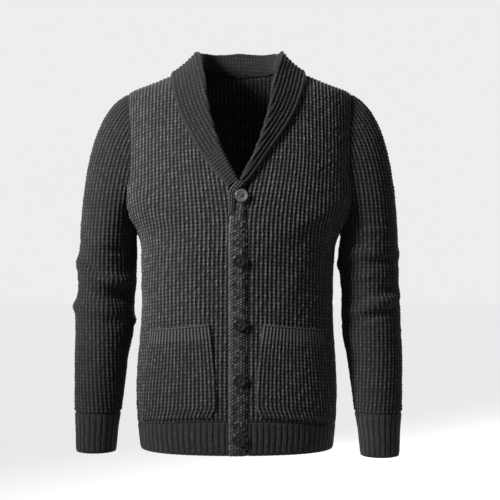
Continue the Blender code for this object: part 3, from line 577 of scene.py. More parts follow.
# Creases round each arm: height, way round from the outer side (90 is the front), how tall and
# wide each is, how far it stands out (or dips), and how it slopes across the arm.
SLEEVE_FOLDS = {
    "left": (
        dict(height=-0.294, around=85, tall=0.008, wide=36, rise=0.0024, slope=0.004),
        dict(height=-0.336, around=98, tall=0.011, wide=34, rise=0.0052, slope=0.002),
        dict(height=-0.338, around=10, tall=0.013, wide=45, rise=0.0022, slope=-0.012),
        dict(height=-0.347, around=62, tall=0.008, wide=24, rise=-0.0052, slope=-0.012),
        dict(height=-0.357, around=178, tall=0.012, wide=40, rise=0.0042, slope=0.006),
        dict(height=-0.377, around=112, tall=0.008, wide=28, rise=0.0036, slope=-0.008),
        dict(height=-0.401, around=46, tall=0.010, wide=26, rise=-0.0046, slope=-0.012),
        dict(height=-0.4265, around=80, tall=0.013, wide=58, rise=0.0080, slope=-0.021),
        dict(height=-0.447, around=84, tall=0.008, wide=46, rise=-0.0040, slope=-0.021),
        dict(height=-0.350, around=290, tall=0.012, wide=45, rise=0.0036, slope=0.016),
        dict(height=-0.392, around=240, tall=0.012, wide=42, rise=-0.0075, slope=0.024),
        dict(height=-0.420, around=258, tall=0.011, wide=46, rise=0.0058, slope=0.034),
    ),
    "right": (
        dict(height=-0.330, around=112, tall=0.007, wide=30, rise=-0.0032, slope=-0.008),
        dict(height=-0.354, around=8, tall=0.014, wide=46, rise=0.0036, slope=-0.010),
        dict(height=-0.366, around=68, tall=0.007, wide=28, rise=-0.0066, slope=-0.055),
        dict(height=-0.383, around=132, tall=0.011, wide=36, rise=0.0078, slope=-0.006),
        dict(height=-0.397, around=0, tall=0.014, wide=36, rise=-0.0026, slope=0.004),
        dict(height=-0.412, around=126, tall=0.013, wide=34, rise=-0.0125, slope=-0.020),
        dict(height=-0.433, around=5, tall=0.0125, wide=42, rise=0.0052, slope=-0.006),
        dict(height=-0.436, around=100, tall=0.010, wide=38, rise=0.0078, slope=-0.050),
        dict(height=-0.459, around=118, tall=0.011, wide=28, rise=-0.0046, slope=-0.012),
        dict(height=-0.461, around=178, tall=0.010, wide=36, rise=0.0036, slope=0.004),
        dict(height=-0.356, around=288, tall=0.012, wide=45, rise=0.0040, slope=0.020),
        dict(height=-0.395, around=245, tall=0.012, wide=40, rise=-0.0075, slope=0.030),
        dict(height=-0.424, around=262, tall=0.011, wide=45, rise=0.0056, slope=0.040),
    ),
}
UNDERSIDE = 0.75             # a crease that stands out drops away more sharply below
CAP_OUT = (0.92, 0.0, -0.39)     # which way the cap leaves the armhole at the shoulder
CAP_DOWN = (0.30, 0.0, -0.95)    # and which way underneath
CAP_INTO_ARM = (0.06, 0.0, -1.0)
CAP_PULL_LOW = 0.035         # how hard it holds those ways, underneath
CAP_FULL = 0.020             # how far its top is eased forwards and back


def sleeve_ring(side, height, theta, tilt=0.0):
    """Points round the arm: theta is 0 at the outer side, a quarter turn at the front."""
    name = "left" if side > 0 else "right"
    level = height + tilt * np.cos(theta)
    middle = read(SLEEVE, name + "_middle", level)
    wide = read(SLEEVE, name + "_width", level)
    x = side * (middle + wide * np.cos(theta))
    y = read(SLEEVE, "middle_y", level) - read(SLEEVE, "depth", level) * np.sin(theta)
    return np.stack([x, y, level], axis=-1)


def crease_lift(name, height, theta):
    """How far the creases lift the cloth at a point of the sleeve."""
    lift = np.zeros_like(theta + height)
    for fold in SLEEVE_FOLDS[name]:
        turn = (np.degrees(theta) - fold["around"] + 180) % 360 - 180
        middle = fold["height"] + fold["slope"] * turn / 90
        across = (height - middle) / fold["tall"]
        if fold["rise"] > 0:
            across = np.where(across < 0, across / UNDERSIDE, across)
        lift = lift + fold["rise"] * np.exp(-np.abs(across) ** 2.6 - (turn / fold["wide"]) ** 2)
    return lift


def tube_normals(grid):
    """The way out at each point of a tube's grid, whose columns run round the tube."""
    around = np.roll(grid, -1, axis=1) - np.roll(grid, 1, axis=1)
    down = np.gradient(grid, axis=0)
    out = unit(np.cross(around, down))
    spoke = grid - grid.mean(axis=1, keepdims=True)
    inward = np.einsum("ijk,ijk->", out, spoke) < 0
    return -out if inward else out


def sleeve_form(side, theta):
    """The sleeve's face from the armhole to the cuff, and the way out at each point."""
    front = theta <= math.pi
    height, reach = armhole(np.where(front, theta, 2 * math.pi - theta))
    angle = np.where(front, ARMHOLE_FRONT, ARMHOLE_BACK) * reach
    start = body_surface(height, np.where(front, front_turn(side, angle), back_turn(side, angle)))
    end = sleeve_ring(side, SLEEVE_TOP_RING, theta, SLEEVE_TOP_TILT)
    top = (1 + np.cos(theta)) / 2
    way = np.array((side, 1.0, 1.0))
    leave = unit(mix(way * CAP_OUT, way * CAP_DOWN, ease(0.0, 1.0, 1 - top)[:, None]))
    leave = leave * (CAP_PULL_LOW + 0.195 * top ** 0.8)[:, None]
    leave[:, 1] -= CAP_FULL * np.sin(theta) * top
    arrive = way * CAP_INTO_ARM * (CAP_PULL_LOW + 0.225 * top)[:, None]
    rows = [(1 + 2 * t) * (1 - t) ** 2 * start + t * (1 - t) ** 2 * leave
            + t * t * (3 - 2 * t) * end + t * t * (t - 1) * arrive
            for t in np.linspace(0.0, 1.0, CAP_ROWS + 1)]
    for share in np.arange(1, ARM_ROWS + 1) / ARM_ROWS:
        height = mix(SLEEVE_TOP_RING, CUFF_TOP, share)
        rows.append(sleeve_ring(side, height, theta, SLEEVE_TOP_TILT * (1 - share) ** 2))
    face = np.array(rows)
    return face, tube_normals(face)


def read_off(places, along, values):
    """Rows of values at places along a line, between those that it has."""
    return np.stack([np.interp(places, along, column) for column in values.T], axis=1)


def finer(ring, parts):
    """A closed ring's points, with its gaps cut into so many parts."""
    behind = np.roll(ring, 1, axis=0)
    return np.concatenate([mix(ring, behind, part / parts) for part in range(parts)])


def sleeve_field(side):
    """A field of stitches down the arm: points, ways out and angles, and which ones it needs."""
    theta = np.arange(ARM_AROUND) * 2 * math.pi / ARM_AROUND
    face, out = sleeve_form(side, theta)
    columns = np.arange(-ARM_AROUND // 2 - ARM_PAST_SEAM, ARM_AROUND // 2 + ARM_PAST_SEAM + 1)
    facts = np.concatenate([face, out], axis=2)[:, columns % ARM_AROUND]
    angle = columns * 2 * math.pi / ARM_AROUND
    shoulder_line = face[:, 0]
    down = run_along(shoulder_line)
    courses = np.arange(0.0, down[-1] / COURSE, 1 / COURSE_POINTS)
    levels = np.interp(courses * COURSE, down, shoulder_line[:, 2])
    start = facts[0, :, 2]
    middle = int(np.argmin(np.abs(angle)))
    count = ARM_WALES * ARM_WALE_POINTS
    wales = np.arange(-count, count + 1) / ARM_WALE_POINTS
    curves = np.stack([read_off(-levels, -facts[:, i, 2], facts[:, i])
                       for i in range(len(columns))], axis=1)
    field, inside = [], []
    for level, curve in zip(levels, curves):
        curve = np.column_stack([curve, angle])
        ends = [0, len(columns) - 1]
        if level > UNDERARM:
            for which, way in ((0, -1), (1, 1)):
                i = middle
                while start[i] >= level:
                    i += way
                share = (start[i - way] - level) / max(start[i - way] - start[i], 1e-9)
                last = np.append(mix(facts[0, i - way], facts[0, i], share),
                                 mix(angle[i - way], angle[i], share))
                if way > 0:
                    curve[i:] = last
                else:
                    curve[:i + 1] = last
                ends[which] = i
        along = run_along(curve[:, :3]) + 1e-7 * np.arange(len(columns))
        along -= along[middle]
        field.append(read_off(wales * WALE, along, curve))
        if level > UNDERARM:
            low, high = along[ends]
        else:
            low, high = np.interp((-math.pi, math.pi), angle, along)
        inside.append((wales * WALE > low + 0.0002) & (wales * WALE < high - 0.0002))
    inside[0][:] = False
    wale, course = np.meshgrid(wales, courses)
    under = face[:, ARM_AROUND // 2]
    seam = read_off(np.linspace(0, 1, 500), np.linspace(0, 1, len(under)), under)
    outline = np.concatenate([finer(face[0], 4), seam, finer(face[-1], 2)])
    return np.array(field), np.array(inside), wale, course, outline


# Painted shade: the sleeves take the body's yarn at about half its brightness, for the weaker light
# that reaches the arms.
sleeve_yarn_painted_darker = yarn("charcoal_sleeve_yarn_painted_shade", (0.0064, 0.0065, 0.0070), (0.0202, 0.0205, 0.0216))

for name, side in SIDES.items():
    field, inside, wale, course, outline = sleeve_field(side)
    points, outs, theta = field[..., :3], unit(field[..., 3:6]), field[..., 6]
    lift = crease_lift(name, points[..., 2], theta)
    knit_panel(f"{name}_sleeve_knit", f"{name}_sleeve", points + outs * lift[..., None], outs,
               wale, course, inside, outline, sleeve_yarn_painted_darker, 31 + side)

# ================================================================ the cuffs and the hem rib
# Broad, flat ribs in the same yarn on finer needles: two wales raised and one sunk. The hem is
# linked on below the fronts and back, the cuffs below the sleeves. Each turns in at its edge.
HEM_RIB = 0.0106
RIB_COURSE = 0.0052
RIB_RELIEF = 0.0024
RIB_SINK = 0.0012
EDGE_ROLL = 0.0016           # radius of the turned edge
EDGE_HIDDEN = 0.016          # how far the cloth goes up inside
RIB_TUCK = 0.0030            # how far the rib starts up behind the panel, and how deep
RIB_TUCK_DEPTH = 0.0022
RIB_DRAWN_IN = 0.0006        # how far the cuffs are drawn in under the sleeves
CUFF_EDGE = {"left": -0.7000, "right": -0.6920}
CUFF_RIBS = 23
RIB_POINTS = 6

# Painted shade: the ribs take the body's yarn at about two fifths of its brightness, for the weaker
# light low on the hem and cuffs.
rib_yarn_painted_darker = yarn("charcoal_rib_yarn_painted_shade", (0.0054, 0.0056, 0.0060), (0.0145, 0.0148, 0.0158))


def rib_relief(wale, course, seed):
    """Broad ribs: two flat wales side by side, then a narrow sunk one. From 0 to 1."""
    random = np.random.RandomState(seed)
    uneven = random.normal(0.0, 1.0, (97, 131))
    across = np.clip(wale - np.floor(wale) - 0.5 + 0.04 * np.sin(0.8 * course), -0.5, 0.5)
    plateau = 1 - np.clip(np.abs(across) / 0.5, 0.0, 1.0) ** 3.2
    dip = 0.30 * np.exp(-((across - 0.06) / 0.09) ** 2)
    side = np.abs(np.abs(across) - 0.22)
    beat = course - 1.3 * side
    chain = 0.09 * np.cos(2 * math.pi * beat)
    size = 1 + 0.05 * uneven[np.floor(wale).astype(int) % 97, np.round(beat).astype(int) % 131]
    return np.clip(plateau * (0.88 + chain) * size - dip * plateau, 0.0, 1.2)


def knit_patch(name, nodes, points, outs, wale, course, tall, finish, relief, sink,
               tube=False, firm=1.0, lift=0.0):
    """A whole grid of points with its stitches raised, as one sheet of knitting."""
    places = points + outs * ((tall * relief - sink) * firm + lift)[..., None]
    number = np.arange(wale.size).reshape(wale.shape)
    if tube:
        number = np.concatenate([number, number[:, :1]], axis=1)
    chart = np.stack([wale, course], axis=-1).reshape(-1, 2)
    # Where the stitches are less firm, at turned and sewn edges, the stitch top goes towards one
    # half, which the yarn paints dark: painted shade along those edges.
    piece = knitted_piece(name, nodes, places.reshape(-1, 3), grid_faces(number),
                          outs.reshape(-1, 3), chart, mix(0.50, tall, firm).ravel(), finish)


def down_and_round(top, bottom):
    """How the rows of a ribbed edge go: down the outside, round the edge and up the inside.

    Gives each row's height, its depth behind the face, how it faces (1 out, -1 in), how far it
    faces down, and its length.
    """
    outside = np.arange(0.0, abs(top - bottom) - EDGE_ROLL, RIB_COURSE / 3)
    turning = np.linspace(0.0, math.pi, 6)
    inside = np.linspace(0.003, EDGE_HIDDEN, 5)
    height = np.concatenate([top - outside, bottom + EDGE_ROLL * (1 - np.sin(turning)),
                             bottom + EDGE_ROLL + inside])
    behind = np.concatenate([0 * outside, EDGE_ROLL * (1 - np.cos(turning)),
                             0 * inside + 2 * EDGE_ROLL])
    facing = np.concatenate([0 * outside + 1, np.cos(turning), 0 * inside - 1])
    ends = np.concatenate([0 * outside, np.sin(turning), 0 * inside])
    return height, behind, facing, ends, run_along(np.stack([height, behind], axis=-1))


def ribbed_edge(base, out, drop, deep):
    """A ribbed strip's points and ways out, how firm its ribs are, and its tuck at the top."""
    _, behind, facing, ends, length = drop
    points = base - out * behind[:, None, None]
    way = unit(out * facing[:, None, None] + np.array([0.0, 0.0, -1.0]) * ends[:, None, None])
    low = ease(0.0, 0.005, deep - EDGE_ROLL - length)
    firm = ease(0.002, 0.008, length) * (0.25 + 0.75 * low)
    tuck = -RIB_TUCK_DEPTH * (1 - ease(RIB_TUCK, 0.008, length))
    return points, way, firm[:, None], tuck[:, None]


for name, side in SIDES.items():
    theta = np.arange(CUFF_RIBS * RIB_POINTS) * 2 * math.pi / (CUFF_RIBS * RIB_POINTS)
    deep = CUFF_TOP + RIB_TUCK - CUFF_EDGE[name]
    drop = down_and_round(CUFF_TOP + RIB_TUCK, CUFF_EDGE[name])
    length = drop[-1]
    base = sleeve_ring(side, drop[0][:, None], theta[None, :])
    out = base - base.mean(axis=1, keepdims=True)
    out[..., 2] = 0.0
    out = unit(out)
    points, way, firm, tuck = ribbed_edge(base, out, drop, deep)
    points = points - out * (RIB_DRAWN_IN * ease(0.0, 0.010, length))[:, None, None]
    wale, course = np.meshgrid(theta / (2 * math.pi) * CUFF_RIBS, length / RIB_COURSE)
    knit_patch(f"{name}_cuff_rib", (f"{name}_cuff",), points, way, wale, course,
               rib_relief(wale, course, 51 + side), rib_yarn_painted_darker,
               RIB_RELIEF, RIB_SINK, tube=True, firm=firm, lift=tuck)

HEM_ENDS = {
    "left_hem_rib": (lambda at: front_turn(1, beside_band(at, 1)),
                     lambda at: front_turn(1, side_gap(at))),
    "right_hem_rib": (lambda at: front_turn(-1, beside_band(at, -1)),
                      lambda at: front_turn(-1, side_gap(at))),
    "back_hem_rib": (side_gap, lambda at: math.pi - side_gap(at)),
}
for number, (node, (first, last)) in enumerate(HEM_ENDS.items()):
    even = np.linspace(0.0, 1.0, 400)
    along = run_along(body_surface(HEM_EDGE, mix(first(HEM_EDGE), last(HEM_EDGE), even)))
    around = float(along[-1])
    ribs = round(around / HEM_RIB)
    rib = np.arange(ribs * RIB_POINTS + 1) / RIB_POINTS
    share = np.interp(rib * around / ribs, along, even)[None, :]
    deep = HEM_SEAM_FRONT - HEM_EDGE
    drop = down_and_round(0.0, -deep)
    length = drop[-1]
    top = hem_seam(mix(first(HEM_EDGE), last(HEM_EDGE), share)) + RIB_TUCK
    height = HEM_EDGE + (top - HEM_EDGE) * ((drop[0][:, None] + deep) / deep)
    turns = mix(first(height[:, :1]), last(height[:, -1:]), share)
    points, way, firm, tuck = ribbed_edge(*body_cloth(height, turns), drop, deep)
    firm = firm * ease(0.0, 0.5, np.minimum(rib, ribs - rib) + 0.25)[None, :]
    wale, course = np.meshgrid(rib + 0.5, length / RIB_COURSE)
    knit_patch(f"{node}_knit", (node,), points, way, wale, course,
               rib_relief(wale, course, 61 + number), rib_yarn_painted_darker,
               RIB_RELIEF, RIB_SINK, firm=firm, lift=tuck)

# ================================================================ the two front bands
# Narrow bands in a fine, close knit, sewn to the edges of the fronts. The one on the wearer's
# left laps over, with chains of bright stitches along its free edge. The other lies behind it.
LAP = 0.0034
BAND_TOP = -0.2147
BAND_END = BAND_TOP + 0.0055     # the band goes on up behind the collar
BAND_WALE = 0.0050
BAND_COURSE = 0.0046
BAND_RELIEF = 0.0014
BAND_POINTS = 5              # points across one wale of the band
ROPE_AT = 0.0022             # the edge stitches: how far a rope, and a chain of loops, lie in
LOOPS_AT = 0.0064

band_yarn = yarn("charcoal_band_yarn", (0.0118, 0.0120, 0.0128), (0.0385, 0.0391, 0.0411))


def band_lift(across):
    return LAP * (1 - ease(0.004, BAND_SEAM, across))


def band_relief(wale, course, seed):
    """A fine knit with small bumps, set off from row to row."""
    random = np.random.RandomState(seed)
    uneven = random.normal(0.0, 1.0, (97, 151))
    across = wale - np.floor(wale) - 0.5
    ridge = np.cos(math.pi * across) ** 0.6
    beat = course + 0.5 * (np.floor(wale) % 2) - 0.2 * across
    bead = 0.5 + 0.5 * np.cos(2 * math.pi * beat)
    size = 1 + 0.28 * uneven[np.floor(wale).astype(int) % 97, np.round(beat).astype(int) % 151]
    return np.clip((0.25 + 0.75 * ridge) * (0.35 + 0.65 * bead) * size, 0.0, 1.3)


def band_grid(first, last, behind, fine):
    """Points of a band from edge to edge: rows go up, columns from the wearer's right."""
    heights = np.arange(HEM_EDGE, BAND_END, BAND_COURSE / (COURSE_POINTS * fine))
    shares = np.linspace(0.0, 1.0, int((last - first) / BAND_WALE * BAND_POINTS * fine))
    narrow = ease(V_BOTTOM - BAND_NARROWING, V_BOTTOM, heights)[:, None]
    neck = NECK_EDGE["reach"][0]
    across = mix(mix(first, -neck, narrow), mix(last, neck, narrow), shares[None, :])
    height = np.broadcast_to(heights[:, None], across.shape)
    turn = front_turn(1, side_angle(height, across, 1))
    points, out = body_cloth(height, turn)
    lift = np.full(across.shape, -behind) if behind else band_lift(across)
    return points + out * lift[..., None], out, across, height


# Each band: how far it lies behind, how much wider it is at each edge and how fine its points.
for node, behind, under, fine, seed in (("button_band", LAP * 0.8, 0.005, 0.6, 71),
                                        ("buttonhole_band", 0.0, 0.0, 1.0, 72)):
    points, out, across, height = band_grid(BAND_OUTER_EDGE - under, BAND_SEAM + under, behind,
                                            fine)
    from_edge = across - across[:, :1]
    wale = from_edge / BAND_WALE
    course = (height - HEM_EDGE) / BAND_COURSE
    rope = np.exp(-((from_edge - ROPE_AT) / 0.0018) ** 2)
    loops = np.exp(-((from_edge - LOOPS_AT) / 0.0019) ** 2)
    slant = np.cos(2 * math.pi * (course / 1.4 - 0.9 * wale))
    chains = rope * (0.70 + 0.26 * slant) + loops * (0.60 + 0.38 * slant)
    between = 1 - 0.7 * np.maximum(rope, loops)
    tall = np.clip(band_relief(wale, course, seed) * between + chains, 0.0, 1.25)
    edge_drop = -0.0034 * (1 - ease(0.0, 0.0022, from_edge))
    seam_drop = -0.0020 * (1 - ease(0.0, 0.0030, across[:, -1:] - across))
    end_drop = -0.0030 * (1 - ease(0.0, 0.0030, np.minimum(height - HEM_EDGE, BAND_END - height)))
    knit_patch(f"{node}_knit", (node,), points, out, wale, course, tall, band_yarn,
               BAND_RELIEF,
               0.0006, lift=edge_drop + seam_drop + end_drop)


def chain_relief(wale, course, seed):
    """Chains of round loops side by side, each loop set off from the next chain's."""
    random = np.random.RandomState(seed)
    uneven = random.normal(0.0, 1.0, (7, 61))
    across = wale - np.floor(wale) - 0.5
    beat = course + 0.5 * (np.floor(wale) % 2) - 0.4 * np.abs(across)
    size = 1 + 0.08 * uneven[np.floor(wale).astype(int) % 7, np.round(beat).astype(int) % 61]
    return np.cos(math.pi * across) ** 0.9 * (0.74 + 0.26 * np.cos(2 * math.pi * beat)) * size


# One end of the collar narrows to three chains of stitches, which cross over the V and run
# round the top button into the band's free edge.
TAIL_CHAINS = 3
TAIL_COURSE = 0.0058
TAIL = {
    "left_x":  (-0.0040, -0.0098, -0.0148, -0.0174, -0.0184, -0.0187, -0.0186),
    "left_z":  (-0.2092, -0.2153, -0.2214, -0.2283, -0.2370, -0.2491, -0.2682),
    "right_x": (0.0130, 0.0069, 0.0009, -0.0038, -0.0056, -0.0064, -0.0094),
    "right_z": (-0.2092, -0.2179, -0.2222, -0.2266, -0.2353, -0.2474, -0.2682),
    "lift":    (0.0075, 0.0072, 0.0064, 0.0058, 0.0052, 0.0046, 0.0030),
    "step":    (0, 1, 2, 3, 4, 5, 6),
}
tail_steps = np.linspace(0.0, 6.0, 57)
tail_share = np.linspace(0.0, 1.0, 22)[None, :]
corners = {column: read(TAIL, column, tail_steps, "step")[:, None] for column in TAIL}
x = mix(corners["left_x"], corners["right_x"], tail_share)
z = mix(corners["left_z"], corners["right_z"], tail_share)
base, out = body_cloth(z, front_turn(1, side_angle(z, x, 1)))
from_middle = np.abs(2 * tail_share - 1)
arch = 0.0016 * (1 - from_middle ** 4) - 0.0022 * from_middle ** 8
tail_length = run_along(base[:, base.shape[1] // 2])
wale, course = np.meshgrid(tail_share[0] * TAIL_CHAINS, tail_length / TAIL_COURSE)
knit_patch("collar_tail_knit", (), base, out, wale, course, chain_relief(wale, course, 75),
           body_yarn, 0.0020, 0.0006,
           lift=corners["lift"] + arch)

# ================================================================ the patch pockets
# Two patch pockets in the body's knit, sewn on at the sides and bottom, with a ribbed border
# whose cast-off edge shows as a fine chain. They stand a little away from the fronts.
CLOTH = 0.003
PATCH_LIFT = 0.0012
POCKET_TOP_INNER = -0.459
POCKET_TOP_OUTER = -0.471
POCKET_BORDER = 0.028
POCKET_ABOVE_HEM = 0.006
POCKET_INNER_TOP = 0.0465
POCKET_INNER_LOW = 0.0340
POCKET_OUTER = 0.187
POCKET_OUTER_TOP = 0.162
POCKET_WALE = 0.0071
POCKET_RIB = 0.0070
POCKET_POINTS = 6            # points across one wale or rib
POCKET_SAG = 0.0012          # how far its middle hangs away from the front
POCKET_CORNER = 0.008        # how far its lower inner corner is rounded in
BORDER_TURNED_IN = 0.012
SEWN_WIDTH = 0.0014


def turn_at_arc(height, distance, side):
    """The turn at a distance from the centre front, measured along the cloth."""
    turns = np.linspace(0.0, math.pi / 2, 181)
    along = run_along(body_surface(height, front_turn(side, math.pi / 2 - turns)))
    return front_turn(side, math.pi / 2 - np.interp(distance, along, turns))


def pocket_field(side, shares, across):
    """Points of part of a pocket: shares run from its bottom to its top edge."""
    heights, turns = [], []
    for v in shares:
        middle = mix(HEM_SEAM_FRONT + POCKET_ABOVE_HEM, POCKET_TOP_INNER, v)
        corner = POCKET_CORNER * (1 - ease(0.0, 0.13, v))
        inner = mix(POCKET_INNER_LOW, POCKET_INNER_TOP, v ** 2) + corner
        outer = mix(POCKET_OUTER, POCKET_OUTER_TOP, v)
        turn = turn_at_arc(middle, mix(inner, outer, across), side)
        bottom = hem_seam(turn) + POCKET_ABOVE_HEM
        top = mix(POCKET_TOP_INNER, POCKET_TOP_OUTER, across)
        turns.append(turn)
        heights.append(mix(bottom, top, v))
    return np.array(heights), np.array(turns)


pocket_tall = POCKET_TOP_INNER - HEM_SEAM_FRONT - POCKET_ABOVE_HEM
pocket_wide = POCKET_OUTER - POCKET_INNER_TOP
border_share = 1 - POCKET_BORDER / pocket_tall
for name, side in SIDES.items():
    wales = round(pocket_wide / POCKET_WALE)
    across = np.linspace(0.0, 1.0, wales * POCKET_POINTS + 1)
    rows = round(pocket_tall * border_share / COURSE)
    shares = np.linspace(0.0, border_share, rows * COURSE_POINTS + 1)
    base, out = body_cloth(*pocket_field(side, shares, across))
    from_side = np.minimum(across, 1 - across)[None, :] * pocket_wide
    from_low = (shares * pocket_tall)[:, None]
    sewn = ease(0.0, SEWN_WIDTH, np.minimum(from_side, from_low))
    middle = np.sin(math.pi * across)[None, :]
    sag = POCKET_SAG * middle * ease(0.2, 1.0, shares)[:, None]
    wale, course = np.meshgrid(across * wales, shares * pocket_tall / COURSE)
    knit_patch(f"{name}_pocket_knit", (f"{name}_pocket",), base, out, wale, course,
               stitch_relief(wale, course, 81 + side), body_yarn,
               STITCH_RELIEF * 0.9, STITCH_SINK,
               firm=0.15 + 0.85 * sewn,
               lift=(CLOTH + PATCH_LIFT + sag) * (0.10 + 0.90 * sewn))

    ribs = round(pocket_wide / POCKET_RIB)
    across = np.linspace(0.0, 1.0, ribs * POCKET_POINTS + 1)
    outside = np.linspace(border_share, 1.0, 19)
    inside = np.linspace(1.0, 1.0 - BORDER_TURNED_IN / pocket_tall, 5)
    shares = np.concatenate([outside, inside])
    hidden = np.concatenate([0 * outside, 0 * inside + 1])[:, None]
    base, out = body_cloth(*pocket_field(side, shares, across))
    from_side = np.minimum(across, 1 - across)[None, :] * pocket_wide
    sewn = ease(0.0, SEWN_WIDTH, from_side) * np.ones_like(hidden)
    middle = np.sin(math.pi * across)[None, :]
    sag = (POCKET_SAG + 0.0008 * ease(border_share, 1.0, shares)[:, None]) * middle
    length = (shares - border_share) * pocket_tall
    wale, course = np.meshgrid(across * ribs, length / RIB_COURSE)
    seam_dip = 0.0010 * (1 - ease(0.0, 0.003, np.abs(length)))[:, None]
    chain = np.exp(-((np.abs(1.0 - shares) * pocket_tall - 0.0018) / 0.0014) ** 2)[:, None]
    chain = chain * (1 - hidden)
    ridge = np.abs(np.cos(math.pi * (wale - np.floor(wale) - 0.5))) ** 0.9
    stitch = 0.90 + 0.10 * np.cos(2 * math.pi * course)
    cast_off = chain * (0.85 + 0.15 * np.cos(4 * math.pi * wale))
    knit_patch(f"{name}_pocket_border", (f"{name}_pocket_rib",), base, out, wale, course,
               np.maximum(ridge * stitch * (1 - chain), cast_off), body_yarn,
               0.0020, 0.0008,
               firm=sewn * (1 - hidden),
               lift=(CLOTH + PATCH_LIFT + sag) * (0.10 + 0.90 * sewn) - seam_dip
               - hidden * 0.0024)

# ================================================================ the shawl collar
# One long strip, folded over along its length and linked to the neck edge from V to V. Its
# wales run along it, and a chain of edge stitches borders the fall.
V_STEPS = 7
NECK_STEPS = 22              # steps of the neck edge, from V to V
COLLAR_ROLL = 0.0026
FALL_CLEAR = 0.0042
COLLAR_WALE = 0.0072
COLLAR_RELIEF = 0.0029
STAND_POINTS = 15
ROLL_POINTS = 8
FALL_POINTS = 46
COLLAR = {
    "step":       (0, 1, 2, 3, 4, 5, 6, 7, 9, 11),
    "fold_in":    (0.0090, 0.0105, 0.0110, 0.0105, 0.0095, 0.0070, 0.0055, 0.0050, 0.0230, 0.0400),
    "fold_up":    (0.0045, 0.0080, 0.0100, 0.0115, 0.0135, 0.0160, 0.0180, 0.0195, 0.0220, 0.0200),
    "fall_left":  (0.0010, 0.0070, 0.0210, 0.0350, 0.0430, 0.0460, 0.0460, 0.0450, 0.0340, 0.0180),
    "fall_right": (0.0085, 0.0200, 0.0310, 0.0410, 0.0470, 0.0500, 0.0500, 0.0490, 0.0340, 0.0180),
}


def neck_line_at(place):
    """The neck edge at a place from 0, the right front's V, to NECK_STEPS, the left one's."""
    points, outs = np.empty((len(place), 3)), np.empty((len(place), 3))
    for side, chosen, step in ((-1, place < V_STEPS, place),
                               (1, place > NECK_STEPS - V_STEPS, NECK_STEPS - place)):
        height = mix(V_BOTTOM, NECK_POINT, np.sin(step[chosen] / V_STEPS * math.pi / 2))
        angle = np.maximum(beside_band(height, side), side_gap(height))
        points[chosen] = body_surface(height, front_turn(side, angle))
        outs[chosen] = body_normal(height, front_turn(side, angle))
    nape = (place >= V_STEPS) & (place <= NECK_STEPS - V_STEPS)
    share = (place[nape] - V_STEPS) / (NECK_STEPS - 2 * V_STEPS)
    turn = mix(math.pi, 0.0, share)
    height = NECK_POINT * np.cos(turn) ** 2 - 0.0002
    points[nape] = body_surface(height, turn)
    outs[nape] = body_normal(height, turn)
    return points, outs


def smoothed(values, times):
    for _ in range(times):
        inner = (values[:-2] + 2 * values[1:-1] + values[2:]) / 4
        values = np.concatenate([values[:1], inner, values[-1:]])
    return values


def section_line(step, share):
    """The strip's middle line in its own plane, from the seam over the fold to the free edge."""
    fold_in = float(read(COLLAR, "fold_in", step, "step"))
    fold_up = float(read(COLLAR, "fold_up", step, "step"))
    fall = mix(float(read(COLLAR, "fall_right", step, "step")),
               float(read(COLLAR, "fall_left", step, "step")), float(ease(0.35, 0.65, share)))
    seam = np.array([-0.0005, -CLOTH / 2])
    fold = np.array([-fold_in, fold_up])
    edge = np.array([fall, FALL_CLEAR])

    def turned(direction):
        direction = direction / np.linalg.norm(direction)
        return np.array([-direction[1], direction[0]])

    start, end = turned(fold - seam), turned(edge - fold)
    first = math.atan2(start[1], start[0])
    last = math.atan2(end[1], end[0])
    if last > first:
        last -= 2 * math.pi
    stand_end = fold + COLLAR_ROLL * start
    bend = seam + np.array([-0.35 * np.linalg.norm(fold - seam), 0.0])
    t = np.linspace(0.0, 1.0, STAND_POINTS)[:-1, None]
    stand = (1 - t) ** 2 * seam + 2 * t * (1 - t) * bend + t * t * stand_end
    angle = np.linspace(first, last, ROLL_POINTS)
    roll = fold + COLLAR_ROLL * np.stack([np.cos(angle), np.sin(angle)], axis=-1)
    q = np.linspace(0.0, 1.0, FALL_POINTS)[1:]
    across = mix(roll[-1, 0], edge[0], q)
    out = edge[1] + (roll[-1, 1] - edge[1]) * (1 - q) ** 1.5
    return np.concatenate([stand, roll, np.stack([across, out], axis=-1)])


def body_tree():
    """A search tree of the body's upper face, whose faces point outwards."""
    heights = np.linspace(UNDERARM - 0.02, NECK_POINT, 160)
    turns = np.linspace(0.0, 2 * math.pi, 321)
    grid = body_surface(heights[:, None], turns[None, :])
    faces = grid_faces(np.arange(grid[..., 0].size).reshape(grid.shape[:2]))
    return BVHTree.FromPolygons(grid.reshape(-1, 3).tolist(), faces.tolist())


def collar_grid():
    """The strip's middle face, a row for each place along the neck, and those rows' places."""
    rough = np.linspace(0.0, NECK_STEPS, 900)
    length = run_along(neck_line_at(rough)[0])
    rows = int(length[-1] / COURSE * COURSE_POINTS)
    place = np.interp(np.linspace(0.0, length[-1], rows), length, rough)
    points, outs = neck_line_at(place)
    outs = unit(smoothed(outs, 60))
    along = unit(smoothed(np.gradient(points, axis=0), 60))
    tree = body_tree()
    grid = []
    for i in range(rows):
        away = unit(np.cross(outs[i], along[i]))
        step = min(place[i], NECK_STEPS - place[i])
        ring = []
        for across, height in section_line(step, place[i] / NECK_STEPS):
            spot = points[i] + away * across
            way = outs[i]
            if across > 0:
                hit, normal, _, _ = tree.find_nearest(Vector(spot))
                way = unit(mix(outs[i], np.array(normal), min(1.0, across / 0.010)))
                spot = np.array(hit)
            ring.append(spot + way * height)
        grid.append(ring)
    grid = np.array(grid)
    held = ease(1.5, 3.5, np.minimum(place, NECK_STEPS - place))[:, None, None]
    return mix(grid, smoothed(grid, 90), held), np.linspace(0.0, length[-1], rows), place


